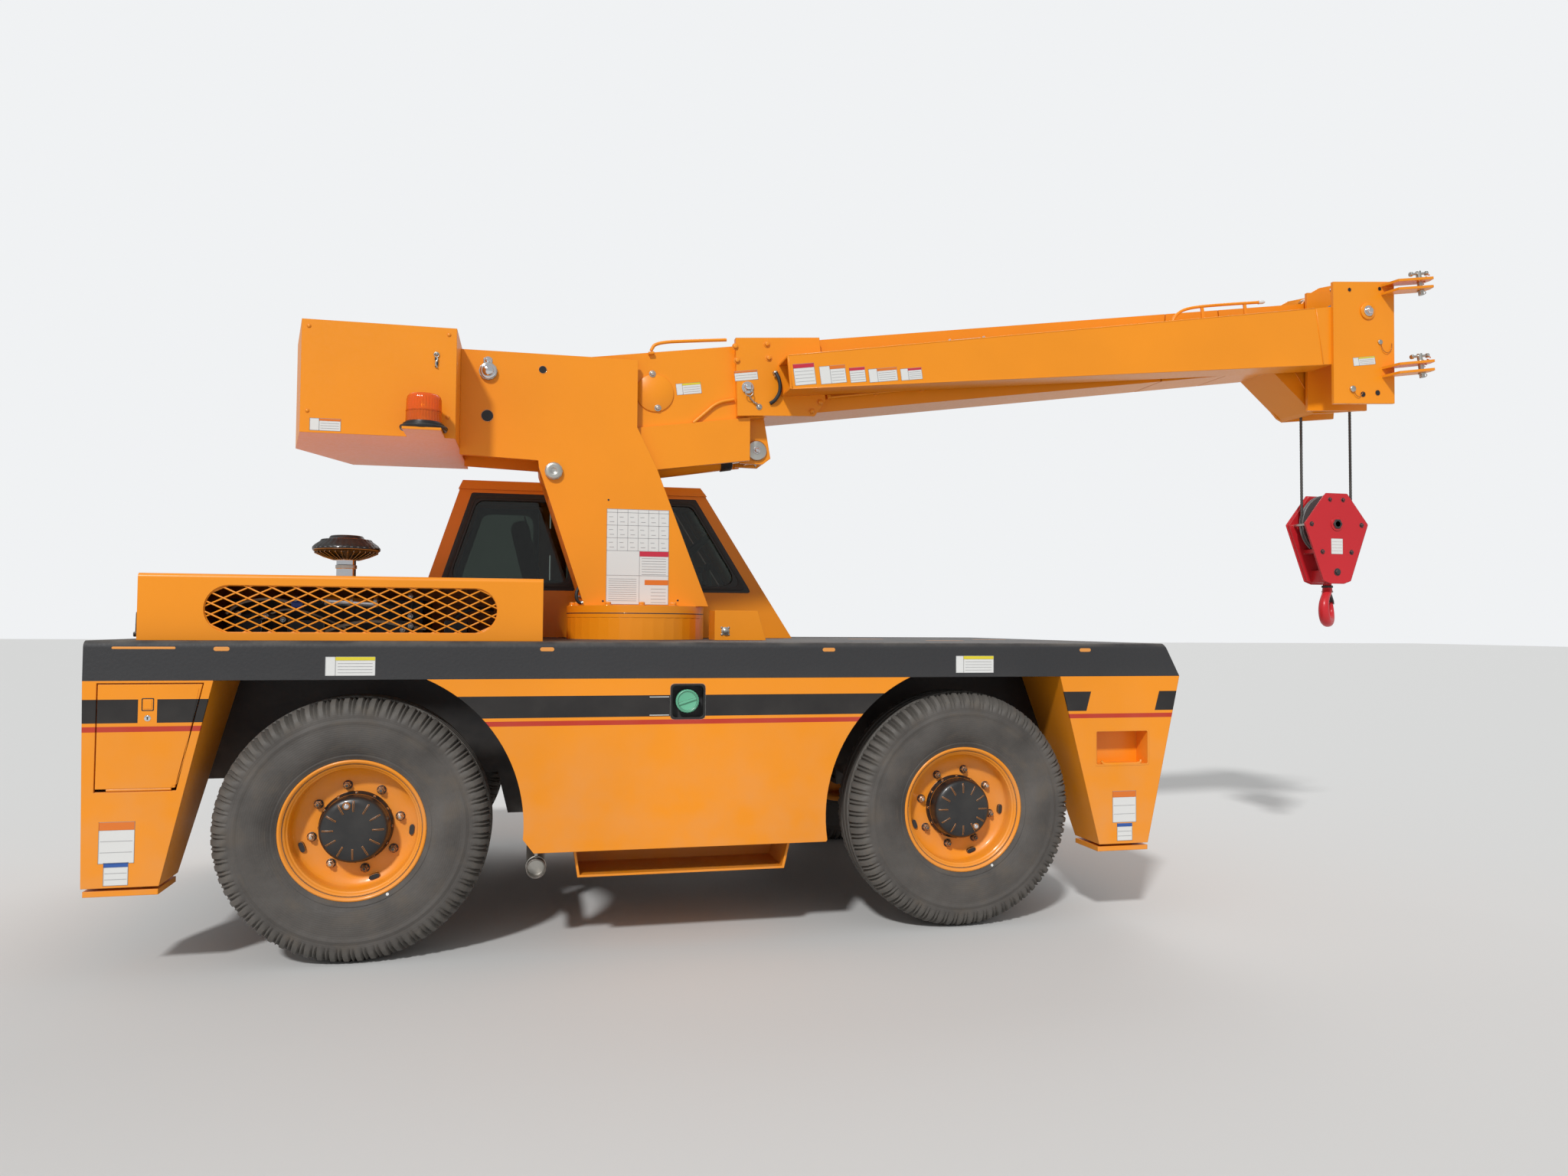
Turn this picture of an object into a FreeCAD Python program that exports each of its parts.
import FreeCAD, Part
import math
import os
import Sketcher

doc = FreeCAD.newDocument("carry_deck_crane")
vector = FreeCAD.Vector

# Driving sizes in millimetres and degrees. Along is measured forwards from mid wheelbase, across to the
# left from the carrier's centre line, and height from the ground. Columns: name, value, meaning.
SIZE_ROWS = [
    ("middle_ahead", "=(heel_along + ear_tip * cos(boom_angle) - deck_rear) / 2",
     "middle of the whole crane ahead of mid wheelbase"),
    ("wheelbase", 2182, "axle to axle"),
    ("hub_height", "=tyre_radius", "axle height, the loaded radius of the tyre"),
    ("half_width", 990, "carrier centre line to its side"),
    ("sheet_wall", 10, "plate of the carrier's body"),
    # Deck
    ("deck_top", "=hub_height + 633", "top of the deck plate"),
    ("deck_plate", 12, "thickness of the deck plate"),
    ("band_low", "=deck_top - 128", "lower edge of the deck's side band"),
    ("deck_rear", "=wheelbase / 2 + 804", "rear end behind mid wheelbase"),
    ("deck_front_low", "=wheelbase / 2 + 899", "front end at the band's lower edge"),
    ("deck_front_top", "=deck_front_low - 66", "front end at the deck's top"),
    ("band_round", 22, "radius along the band's top edge"),
    # Frame
    ("frame_half", 420, "half width over the frame's side plates"),
    ("frame_plate", 20, "frame side plates and cross plates"),
    ("frame_rear", "=deck_rear - 115", "rear end of the frame"),
    ("frame_front", "=deck_front_low - 290", "front end of the frame"),
    ("frame_low", "=hub_height + 114", "frame's lower edge over the axles"),
    ("belly_low", "=hub_height - 46", "frame's lower edge between the axles"),
    ("belly_half", "=wheelbase / 2 - 491", "half length of the frame's deep middle"),
    # Skirts
    ("skirt_low", "=hub_height - 92", "lower edge of the side skirt"),
    ("skirt_low_rear", "=wheelbase / 2 - 590", "rear corner of the skirt's lower edge"),
    ("skirt_low_front", "=wheelbase / 2 - 553", "front corner of the skirt's lower edge"),
    ("skirt_top_rear", "=wheelbase / 2 - 131", "rear corner of the skirt's top edge"),
    ("skirt_top_front", "=wheelbase / 2 - 106", "front corner of the skirt's top edge"),
    ("arch_radius", "=tyre_radius + 109", "wheel arch about the axle"),
    ("fuel_along", 26, "centre of the filler recess"),
    ("fuel_height", "=band_low - 83", "centre of the filler recess"),
    ("fuel_size", 118, "side of the square filler recess"),
    ("fuel_depth", 45, "depth of the filler recess"),
    ("fuel_cap_radius", 38, "filler cap"),
    # Outriggers
    ("housing_low", "=hub_height - 146", "lower end of the outrigger housings"),
    ("housing_inner_top", "=half_width - 350", "inner side of a housing under the deck"),
    ("housing_inner_low", "=half_width - 190", "inner side of a housing at its lower end"),
    ("front_housing_top_rear", "=deck_front_low - 517", "front housing, top, wheel side"),
    ("front_housing_low_rear", "=deck_front_low - 353", "front housing, lower end, wheel side"),
    ("front_housing_low_front", "=deck_front_low - 144", "front housing, lower end, outer side"),
    ("rear_housing_top_front", "=deck_rear - 378", "rear housing, top, wheel side"),
    ("rear_housing_low_front", "=deck_rear - 234", "rear housing, lower end, wheel side"),
    ("rear_housing_low_rear", "=deck_rear - 12", "rear housing, lower end, outer side"),
    ("leg_tube", 110, "square leg tube"),
    ("leg_lean", 12, "lean of the legs, outwards at the foot"),
    ("leg_length", 560, "length of a leg tube"),
    ("foot_low", "=housing_low - 28", "underside of the outrigger feet"),
    ("foot_plate", 18, "thickness of an outrigger foot"),
    ("foot_length", 215, "outrigger foot along the carrier"),
    ("foot_width", 176, "outrigger foot across the carrier"),
    ("bulkhead_low", "=hub_height + 34", "lower edge of the end bulkheads"),
    ("lamp_radius", 62, "round lamps in the bulkheads"),
    ("lamp_across", "=half_width - 510", "lamps from the centre line"),
    ("lamp_height", "=band_low - 151", "lamp centres"),
    ("seam_along", "=cab_low_front + 44", "seam across the deck ahead of the cab"),
    ("pocket_rear", "=deck_front_low - 364", "rear side of the step pockets in the front housings"),
    ("pocket_front", "=deck_front_low - 142", "front side of the step pockets"),
    ("pocket_low", "=housing_low + 308", "floor of the step pockets"),
    ("pocket_high", "=housing_low + 437", "top of the step pockets"),
    ("pocket_depth", 88, "depth of the step pockets"),
    # Storage door
    ("door_rear", "=deck_rear - 45", "rear edge of the storage door"),
    ("door_low_front", "=rear_housing_low_front - 39", "front corner of the door's lower edge"),
    ("door_top_front", "=rear_housing_top_front + 31", "front corner of the door's top edge"),
    ("door_low", "=housing_low + 306", "lower edge and hinge of the storage door"),
    ("door_top", "=band_low - 7", "top edge of the storage door"),
    ("door_gap", 4, "gap round the storage door"),
    ("door_hinge_radius", 5, "knuckle of the storage door's hinge"),
    # Engine and hood
    ("hood_rear", "=deck_rear - 121", "rear end of the engine hood"),
    ("hood_front", 480, "front end of the engine hood, behind mid wheelbase"),
    ("hood_right", "=half_width - 90", "right side of the hood"),
    ("hood_left", 150, "left side of the hood"),
    ("hood_top", "=deck_top + 221", "top of the hood"),
    ("hood_wall", 8, "hood plate"),
    ("hood_round", 14, "radius of the hood's top edges"),
    ("grille_middle", "=(hood_rear + hood_front) / 2 - 21", "middle of the grille behind mid wheelbase"),
    ("grille_height", "=(deck_top + hood_top) / 2 - 5.5", "height of the grille's centre"),
    ("grille_long", 941, "length of the grille opening"),
    ("grille_tall", 158, "height of the grille opening"),
    ("grille_lap", 16, "grille metal behind the edge of its opening"),
    ("grille_plate", 5, "thickness of the expanded metal"),
    ("diamond_long", 104, "pitch of the diamonds along the grille"),
    ("diamond_tall", 54, "pitch of the diamonds up the grille"),
    ("strand", 8, "strand of the expanded metal"),
    ("engine_rear", "=hood_rear - 134", "rear end of the engine"),
    ("engine_front", "=hood_front + 460", "front end of the engine"),
    ("engine_right", 330, "right side of the engine"),
    ("engine_left", "=hood_left - 60", "left side of the engine"),
    ("engine_low", "=frame_low + 60", "underside of the engine"),
    ("engine_top", "=hood_top - 70", "top of the engine"),
    ("cleaner_along", "=(hood_rear + hood_front) / 2 + 105", "air pre-cleaner behind mid wheelbase"),
    ("cleaner_across", 300, "air pre-cleaner right of the centre line"),
    ("cleaner_stem", 36, "radius of the pre-cleaner's stem"),
    ("cleaner_cap", 125, "radius of the pre-cleaner's cap"),
    ("cleaner_cap_low", "=hood_top + 88", "underside of the pre-cleaner's cap"),
    ("cleaner_top", "=hood_top + 182", "top of the pre-cleaner"),
    ("facets", 20, "flat sides of the small turned pieces"),
    # Steps and exhaust
    ("tray_low", "=skirt_low - 102", "underside of the side steps"),
    ("tray_rear", 350, "rear end of a side step"),
    ("tray_front", 425, "front end of a side step"),
    ("tray_outer", "=half_width - 60", "outer edge of a side step"),
    ("tray_inner", "=tray_outer - 230", "inner edge of a side step"),
    ("pipe_along", "=wheelbase / 2 - 599", "tailpipe behind mid wheelbase"),
    ("pipe_height", "=hub_height - 163", "tailpipe's centre"),
    ("pipe_radius", 34, "tailpipe"),
    ("pipe_end", "=half_width - 85", "tailpipe's outlet right of the centre line"),
    # Axles and wheels
    ("kingpin_across", "=wheel_across - 140", "steering axis from the centre line"),
    ("wheel_across", "=half_width - 150", "middle of the tyre from the centre line"),
    ("beam_radius", 76, "axle beam"),
    ("bowl_radius", 165, "differential bowl"),
    ("yoke_half", 60, "half width of the yoke at the axle's end"),
    ("yoke_gap", 100, "axle centre to the inner face of a yoke lug"),
    ("yoke_lug", 26, "thickness of a yoke lug"),
    ("kingpin_cap", 30, "radius of the caps on the kingpins"),
    ("knuckle_radius", 46, "knuckle barrel on its kingpin"),
    ("spindle_radius", 62, "spindle that carries the hub"),
    ("tyre_radius", 446, "outside radius of a tyre"),
    ("tyre_half", 130, "half width of a tyre"),
    ("tyre_facets", 40, "flat sides round a tyre"),
    ("bead_half", "=tyre_half - 26", "half width between the rim's flanges"),
    ("rim_radius", 220, "rim barrel"),
    ("rim_flange", "=rim_radius + 16", "rim flange"),
    ("rim_wall", 12, "rim and disc thickness"),
    ("disc_out", 26, "wheel disc outside the tyre's middle"),
    ("disc_flat", 166, "radius of the disc's flat centre"),
    ("hub_radius", 124, "planetary hub"),
    ("hub_out", 108, "hub's end outside the tyre's middle"),
    # Cab
    ("cab_right", 300, "cab's right wall"),
    ("cab_left", "=half_width - 22", "cab's left wall"),
    ("cab_wall", 40, "cab walls"),
    ("cab_low_rear", 1066, "cab's rear end at the deck"),
    ("cab_roof_rear", "=cab_low_rear - 231", "cab's rear end at the roof"),
    ("cab_roof_front", "=cab_low_front - 457", "cab's front end at the roof"),
    ("cab_nose_along", "=cab_low_front - 156", "bend in the cab's front, at the sill"),
    ("cab_nose_height", "=deck_top + 243", "height of the bend in the cab's front"),
    ("cab_low_front", 716, "cab's front end at the deck"),
    ("cab_eaves", "=deck_top + 677", "top of the cab's walls"),
    ("cab_top", "=cab_eaves + 40", "top of the roof panel"),
    ("sill", "=deck_top + 221", "lower edge of the cab's windows"),
    ("lintel", "=cab_eaves - 20", "upper edge of the cab's windows"),
    ("window_border", 62, "frame beside the sloping ends of the windows"),
    ("post_rear", 330, "front edge of the rear side window, behind mid wheelbase"),
    ("post_front", "=post_rear - 80", "rear edge of the front side window, behind mid wheelbase"),
    ("glass", 6, "thickness of the glass"),
    ("cab_door_rear", "=post_rear + 100", "hinge edge of the cab door, behind mid wheelbase"),
    ("cab_door_low", "=deck_top + 51", "lower edge of the cab door"),
    ("cab_door_front", "=cab_low_front - 416", "front edge of the cab door at its foot"),
    ("cab_door_gap", 6, "gap round the cab door"),
    ("door_knuckle", 9, "radius of the cab door's hinge knuckles"),
    ("seat_half", "=(cab_left - cab_right) / 2 - cab_wall - 69", "half width of the seat"),
    ("desk_half", "=(cab_left - cab_right) / 2 - cab_wall - 54", "half width of the control desk"),
    ("hand_radius", "=(cab_left - cab_right) / 2 - cab_wall - 109", "radius of the steering wheel"),
    # Swing
    ("swing_along", -86, "swing axis"),
    ("crane_across", -160, "swing axis and boom, right of the centre line"),
    ("ring_radius", 290, "swing bearing and turret flange"),
    ("ring_top", "=deck_top + 89", "joint between the bearing and the turret"),
    ("swing_gap", 0.3, "running gap under the turret"),
    ("flange_top", "=ring_top + 50", "top of the turret's flange"),
    # Turret, along measured from mid wheelbase
    ("plate_half", 170, "half width over the turret's plates"),
    ("plate_wall", 20, "turret plates"),
    ("plate_top", "=deck_top + 1165", "top edge of the turret's plates"),
    ("plate_nose", "=swing_along - 17", "front edge of the plates, upper part"),
    ("tail_low", "=deck_top + 739", "lower edge of the turret's tail"),
    ("tail_end", "=725 - swing_along", "rear end of the plates behind mid wheelbase"),
    ("box_rear", "=tail_end + 549", "tail box, rear corners behind mid wheelbase"),
    ("box_bulge", 95, "how far the tail box stands out at its middle"),
    ("box_half", 410, "half width of the tail box"),
    ("box_low", "=tail_low + 22", "underside of the tail box"),
    ("box_top", "=plate_top + 17", "top of the tail box"),
    ("leg_low_rear", "=swing_along - 226", "rear edge of the turret's leg on the flange"),
    ("leg_low_front", "=swing_along + 288", "front edge of the leg on the flange"),
    ("knee_rear", "=swing_along - 414", "rear edge of the leg under the tail"),
    ("knee_front", "=swing_along + 66", "bend in the leg's front edge"),
    ("knee_height", "=deck_top + 714", "height of the bend in the leg's front edge"),
    ("nose_low", "=deck_top + 882", "lower end of the plates' upright front edge"),
    ("cross_top", "=flange_top + 440", "upper edge of the leg's cross plates"),
    # Boom pins
    ("heel_along", "=106 - tail_end", "boom's heel pin"),
    ("heel_height", "=plate_top - 86", "boom's heel pin"),
    ("heel_pin", 27, "radius of the heel pin"),
    ("foot_along", "=heel_along + 264", "lift cylinder's foot pin"),
    ("foot_height", "=heel_height - 394", "lift cylinder's foot pin"),
    ("foot_pin", 25, "radius of the foot pin"),
    ("pin_head", "=heel_pin + 9", "radius of the pins' heads"),
    ("pin_play", 0.05, "radial play of a running pin"),
    ("boom_angle", 8, "boom's angle over the horizontal as parked"),
    # Boom, along measured from the heel pin, up at right angles to the boom
    ("boom_half", 120, "half width of the base section"),
    ("boom_up", 40, "top of the boom over the heel pin"),
    ("boom_down", 278, "underside of the boom under the heel pin"),
    ("boom_wall", 10, "boom plate"),
    ("boom_heel", 75, "rear end of the boom behind the heel pin"),
    ("base_end", 3134, "front end of the base section"),
    ("base_slant", 70, "how far the base section's end slants"),
    ("heel_boss", 56, "radius of the bosses on the heel pin"),
    ("wear_pad", 140, "length of the wear pads between the sections"),
    ("belly_long", 760, "length of the belly plates at the boom"),
    ("post_back", 174, "rear side of the bracket's front post behind the base section's end"),
    ("second_half", "=boom_half - 22", "half width of the second section"),
    ("second_up", "=boom_up - 22", "top of the second section"),
    ("second_down", "=boom_down - 22", "underside of the second section"),
    ("second_rear", 360, "rear end of the second section"),
    ("second_collar", "=base_end + 286", "front end of the second section's collar"),
    ("third_half", "=second_half - 20", "half width of the third section"),
    ("third_up", "=second_up - 20", "top of the third section"),
    ("third_down", "=second_down - 20", "underside of the third section"),
    ("third_rear", 440, "rear end of the third section"),
    ("slide_gap", 6, "gap between a section's end and the next collar"),
    ("lug_along", 1083, "lift cylinder's pin on the boom"),
    ("lug_under", "=boom_down + 133", "lift cylinder's pin under the heel pin's level"),
    ("belly_under", "=boom_down + 180", "lower edge of the belly plates"),
    ("belly_wall", 14, "belly plates"),
    ("lug_half", 66, "half width over the lug's cheeks"),
    ("lug_cheek", 14, "lug's cheeks"),
    # Boom head
    ("head_end", "=second_collar + 818", "front end of the boom head"),
    ("head_foot", "=boom_down + 227", "lower end of the boom head"),
    ("head_cheek", 14, "cheeks of the boom head"),
    ("sheave_along", "=head_end - 63", "head sheave"),
    ("sheave_up", "=boom_up - 31", "head sheave"),
    ("sheave_radius", 102, "head sheave"),
    ("sheave_half", 22, "half width of a sheave"),
    ("groove_radius", 87, "bottom of the head sheave's groove"),
    ("sheave_pin", 24, "radius of the sheaves' pins"),
    ("lead_slope", 20, "fall of the rope from the head sheave into the boom, to the boom"),
    # Stowed extension
    ("extension_near", "=boom_half + 195",
     "outer side of the stowed extension, right of the boom's middle"),
    ("extension_far", "=boom_half + 35", "inner side of the stowed extension"),
    ("extension_wall", 8, "extension plate"),
    ("extension_heel", 1205, "narrow rear end of the stowed extension"),
    ("end_plate", 16, "thickness of the extension's end plates"),
    ("end_plate_round", 30, "radius of an end plate's corners"),
    ("ear_tip", "=head_end + 165", "front end of the ears, at the heel pin's level"),
    ("ear_plate", 12, "thickness of an ear"),
    ("ear_width", 84, "width of an ear"),
    ("ear_bore", "=tee_radius + 0.3", "radius of the bores in the ears"),
    ("tee_radius", 12, "radius of the T-pins"),
    # Lift cylinder
    ("barrel_radius", 60, "lift cylinder's barrel"),
    ("barrel_bore", "=barrel_radius - 12", "lift cylinder's bore"),
    ("barrel_end", 768, "gland's face from the foot pin"),
    ("rod_radius", 35, "lift cylinder's rod"),
    ("cylinder_run",
     "=heel_along + lug_along * cos(boom_angle) + lug_under * sin(boom_angle) - foot_along",
     "foot pin to the lug's pin, along"),
    ("cylinder_rise",
     "=heel_height + lug_along * sin(boom_angle) - lug_under * cos(boom_angle) - foot_height",
     "foot pin to the lug's pin, up"),
    ("cylinder_length", "=sqrt(cylinder_run ^ 2 + cylinder_rise ^ 2)", "foot pin to the lug's pin"),
    ("cylinder_lean", "=atan(cylinder_rise / cylinder_run) / 1 deg", "lift cylinder's slope"),
    ("rod_eye", "=foot_pin + 21", "radius of the rod's eye"),
    # Hook block
    ("block_along",
     "=heel_along + sheave_along * cos(boom_angle) - sheave_up * sin(boom_angle) + groove_radius + rope_radius - fall_half",
     "middle of the hook block, so that the front fall hangs from the head sheave"),
    ("fall_half", 144, "half distance between the rope falls"),
    ("rope_radius", 7, "hoist rope"),
    ("fall_top", "=heel_height + 92", "top of the rope falls"),
    ("block_top", "=hook_centre + 569", "top of the hook block"),
    ("block_waist", "=block_top - 148", "height of the block's widest part"),
    ("block_low", "=block_top - 440", "lower end of the block's cheeks"),
    ("block_top_half", 64, "half width of the block at its top"),
    ("block_waist_half", 178, "half width of the block at its waist"),
    ("block_low_half", 44, "half width of the block at its lower end"),
    ("block_half", 70, "half thickness of the block"),
    ("block_cheek", 18, "cheeks of the block"),
    ("hook_centre", 1243, "height of the hook's centre"),
    ("hook_radius", 66, "centre line of the hook's bend"),
    ("hook_section", 25, "radius of the hook's section"),
    ("hook_turn", 35, "the hook's turn on its swivel as parked"),
]


class Size:
    """A number with the sheet formula that gives it, so that sums of sizes stay bound to the sheet."""

    def __init__(self, value, formula):
        self.value = float(value)
        self.formula = formula

    def __float__(self):
        return self.value

    def __neg__(self):
        return Size(-self.value, "(-" + self.formula + ")")

    def __add__(self, other):
        return Size(self.value + float(other), "(" + self.formula + " + " + formula_of(other) + ")")

    def __radd__(self, other):
        return self + other

    def __sub__(self, other):
        return Size(self.value - float(other), "(" + self.formula + " - " + formula_of(other) + ")")

    def __rsub__(self, other):
        return -self + other

    def __mul__(self, other):
        return Size(self.value * float(other), "(" + self.formula + " * " + formula_of(other) + ")")

    def __rmul__(self, other):
        return self * other

    def __truediv__(self, other):
        return Size(self.value / float(other), "(" + self.formula + " / " + formula_of(other) + ")")


def formula_of(size):
    return size.formula if isinstance(size, Size) else "(" + repr(float(size)) + ")"


def sine(angle):
    return Size(math.sin(math.radians(float(angle))), "sin(" + formula_of(angle) + ")")


def cosine(angle):
    return Size(math.cos(math.radians(float(angle))), "cos(" + formula_of(angle) + ")")


class Sheet:
    """The spreadsheet of driving sizes; each alias reads as an attribute."""

    def __init__(self, rows):
        self.table = doc.addObject("Spreadsheet::Sheet", "Sizes")
        for line, (name, value, meaning) in enumerate(rows, start=1):
            self.table.set("A%d" % line, meaning)
            self.table.setAlias("B%d" % line, name)
        for line, (name, value, meaning) in enumerate(rows, start=1):
            self.table.set("B%d" % line, str(value))
        doc.recompute()

    def __getattr__(self, name):
        return Size(self.table.get(name), "Sizes." + name)


s = Sheet(SIZE_ROWS)
pieces = []


def bind(item, path, size):
    """Tie a property to the sheet where the size comes from it, or set a plain number."""
    item.setExpression(path, formula_of(size))


def locate(item, along=0, across=0, height=0, lean=0, turn_axis=(0, -1, 0)):
    """Put a piece at its place on the crane, leaned about an axis through that place."""
    base = vector(float(along) - float(s.middle_ahead), float(across), float(height))
    item.Placement = FreeCAD.Placement(base, FreeCAD.Rotation(vector(*turn_axis), float(lean)))
    bind(item, "Placement.Base.x", along - s.middle_ahead)
    bind(item, "Placement.Base.y", across)
    bind(item, "Placement.Base.z", height)
    if isinstance(lean, Size):
        item.setExpression("Placement.Rotation.Angle", lean.formula + " * 1 deg")


def body_at(label, along=0, across=0, height=0, lean=0, turn_axis=(0, -1, 0)):
    body = doc.addObject("PartDesign::Body", label)
    locate(body, along, across, height, lean, turn_axis)
    return body


def keep(item, label):
    """Mark a finished piece; its label is its name in the assembly."""
    item.Label = label
    pieces.append(item)
    return item


def boom_body(label):
    return body_at(label, s.heel_along, s.crane_across, s.heel_height, s.boom_angle)


# Closed outlines for the sketches. Each returns a function that draws it in a sketch.

def polygon(*corners):
    def draw(sketch):
        first = sketch.GeometryCount
        count = len(corners)
        for here, there in zip(corners, corners[1:] + corners[:1]):
            ends = [vector(float(point[0]), float(point[1]), 0) for point in (here, there)]
            sketch.addGeometry(Part.LineSegment(*ends), False)
        joins = []
        for index in range(count):
            joins.append(Sketcher.Constraint("Coincident", first + index, 2, first + (index + 1) % count, 1))
        sketch.addConstraint(joins)
        for index, (one, two) in enumerate(corners):
            for kind, size in (("DistanceX", one), ("DistanceY", two)):
                number = sketch.addConstraint(Sketcher.Constraint(kind, first + index, 1, float(size)))
                bind(sketch, "Constraints[%d]" % number, size)
    return draw


def circle(one, two, radius):
    def draw(sketch):
        index = sketch.addGeometry(
            Part.Circle(vector(float(one), float(two), 0), vector(0, 0, 1), float(radius)), False)
        for kind, size in (("DistanceX", one), ("DistanceY", two)):
            number = sketch.addConstraint(Sketcher.Constraint(kind, index, 3, float(size)))
            bind(sketch, "Constraints[%d]" % number, size)
        number = sketch.addConstraint(Sketcher.Constraint("Radius", index, float(radius)))
        bind(sketch, "Constraints[%d]" % number, radius)
    return draw


def rectangle(one_low, one_high, two_low, two_high):
    return polygon((one_low, two_low), (one_high, two_low), (one_high, two_high), (one_low, two_high))


def sketch_on(body, plane, level, outlines):
    """A sketch across one of the body's own planes, at a level along the plane's normal axis."""
    support = [item for item in body.Origin.OriginFeatures if item.Role == plane][0]
    sketch = body.newObject("Sketcher::SketchObject", "outline")
    sketch.AttachmentSupport = (support, [""])
    sketch.MapMode = "FlatFace"
    bind(sketch, "AttachmentOffset.Base.z", -level if plane == "XZ_Plane" else level)
    for outline in outlines:
        outline(sketch)
    return sketch


def pad(body, plane, low, high, *outlines):
    """Material between two levels along X, Y or Z."""
    sketch = sketch_on(body, plane, high if plane == "XZ_Plane" else low, outlines)
    feature = body.newObject("PartDesign::Pad", "pad")
    feature.Profile = sketch
    bind(feature, "Length", high - low)
    return feature


def cut(body, plane, low, high, *outlines):
    """An opening between two levels along X, Y or Z."""
    sketch = sketch_on(body, plane, low if plane == "XZ_Plane" else high, outlines)
    feature = body.newObject("PartDesign::Pocket", "opening")
    feature.Profile = sketch
    bind(feature, "Length", high - low)
    return feature


def revolve(body, plane, axis, *outlines):
    sketch = sketch_on(body, plane, 0, outlines)
    feature = body.newObject("PartDesign::Revolution", "turned")
    feature.Profile = sketch
    feature.ReferenceAxis = (sketch, [axis])
    return feature


def faceted(label, sides, profile, axis="Z"):
    """A turned piece with flat sides. The profile goes round the section as (along the axis, radius)."""
    count = int(round(float(sides)))

    def ring(along, radius):
        points = []
        for step in range(count):
            angle = 2 * math.pi * step / count
            one, two = radius * math.cos(angle), radius * math.sin(angle)
            points.append(vector(one, two, along) if axis == "Z" else vector(one, along, two))
        return points

    section = [(float(along), float(radius)) for along, radius in profile]
    faces = []
    for (along, radius), (next_along, next_radius) in zip(section, section[1:] + section[:1]):
        here, there = ring(along, radius), ring(next_along, next_radius)
        for step in range(count):
            after = (step + 1) % count
            corners = [here[step]]
            if radius > 0:
                corners.append(here[after])
            if next_radius > 0:
                corners += [there[after], there[step]] if radius > 0 else [there[after], there[step]]
            elif radius > 0:
                corners.append(there[step])
            if len(corners) > 2:
                faces.append(Part.Face(Part.makePolygon(corners + corners[:1])))
    solid = Part.makeSolid(Part.makeShell(faces))
    if solid.Volume < 0:
        solid.reverse()
    item = doc.addObject("Part::Feature", label)
    item.Shape = solid.removeSplitter()
    return item


def many_sided(one, two, radius, sides):
    """A regular outline inside a circle."""
    count = int(round(float(sides)))
    return polygon(*[(one + radius * math.cos(2 * math.pi * step / count),
                      two + radius * math.sin(2 * math.pi * step / count)) for step in range(count)])


def soften(body, radius, plane, *corners):
    """Round the straight edges that stand across a plane at the given corners."""
    doc.recompute()
    axes = {"XY_Plane": (0, 1, 2), "XZ_Plane": (0, 2, 1), "YZ_Plane": (1, 2, 0)}
    one, two, along = axes[plane]
    base = body.Tip
    names = []
    for number, edge in enumerate(base.Shape.Edges, start=1):
        if len(edge.Vertexes) != 2 or edge.Curve.TypeId != "Part::GeomLine":
            continue
        start, end = edge.Vertexes[0].Point, edge.Vertexes[1].Point
        if abs(start[along] - end[along]) < 0.9 * edge.Length:
            continue
        for corner in corners:
            if abs(start[one] - float(corner[0])) < 0.01 and abs(start[two] - float(corner[1])) < 0.01:
                names.append("Edge%d" % number)
    feature = body.newObject("PartDesign::Fillet", "round")
    feature.Base = (base, names)
    bind(feature, "Radius", radius)
    return feature


def mirrored(item, label):
    """The same piece on the other side of the carrier's centre line."""
    twin = doc.addObject("Part::Mirroring", label)
    twin.Source = item
    twin.Normal = vector(0, 1, 0)
    return twin


def compound(label, *items):
    group = doc.addObject("Part::Compound", label)
    group.Links = list(items)
    return keep(group, label)


# Main frame: two deep side plates and four cross plates, open above and below.
frame = body_at("main_frame")
deep_slope = 40
pad(frame, "XZ_Plane", -s.frame_half, s.frame_half, polygon(
    (-s.frame_rear, s.frame_low), (-s.belly_half - deep_slope, s.frame_low),
    (-s.belly_half, s.belly_low), (s.belly_half, s.belly_low),
    (s.belly_half + deep_slope, s.frame_low), (s.frame_front, s.frame_low),
    (s.frame_front, s.deck_top - s.deck_plate), (-s.frame_rear, s.deck_top - s.deck_plate)))
bay_side = s.frame_half - s.frame_plate
bays = [(-s.frame_rear + s.frame_plate, -s.belly_half - deep_slope),
        (-s.belly_half + s.frame_plate, s.belly_half - s.frame_plate),
        (s.belly_half + deep_slope, s.frame_front - s.frame_plate)]
cut(frame, "XY_Plane", s.belly_low - 1, s.deck_top,
    *[rectangle(rear, front, -bay_side, bay_side) for rear, front in bays])
keep(frame, "main_frame")

# Deck: a plate with a folded band round it, sloping at the front, open under the hood.
deck = body_at("deck")
deck_under = s.deck_top - s.deck_plate
front_slope = (s.deck_front_low - s.deck_front_top) / (s.deck_top - s.band_low)
pad(deck, "XZ_Plane", -s.half_width, s.half_width, polygon(
    (-s.deck_rear, s.band_low), (s.deck_front_low, s.band_low),
    (s.deck_front_top, s.deck_top), (-s.deck_rear, s.deck_top)))
soften(deck, s.band_round, "YZ_Plane", (-s.half_width, s.deck_top), (s.half_width, s.deck_top))
inner_front = s.deck_front_low - s.sheet_wall * 1.2
cut(deck, "XZ_Plane", -s.half_width + s.sheet_wall, s.half_width - s.sheet_wall, polygon(
    (-s.deck_rear + s.sheet_wall, s.band_low - 1), (inner_front, s.band_low - 1),
    (inner_front - (deck_under - s.band_low) * front_slope, deck_under),
    (-s.deck_rear + s.sheet_wall, deck_under)))
hood_ledge = 40
cut(deck, "XY_Plane", s.band_low, s.deck_top + 1, rectangle(
    -s.hood_rear + hood_ledge, -s.hood_front - hood_ledge, -s.hood_right + hood_ledge,
    s.hood_left - hood_ledge))
seam_half = 1.5
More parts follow.
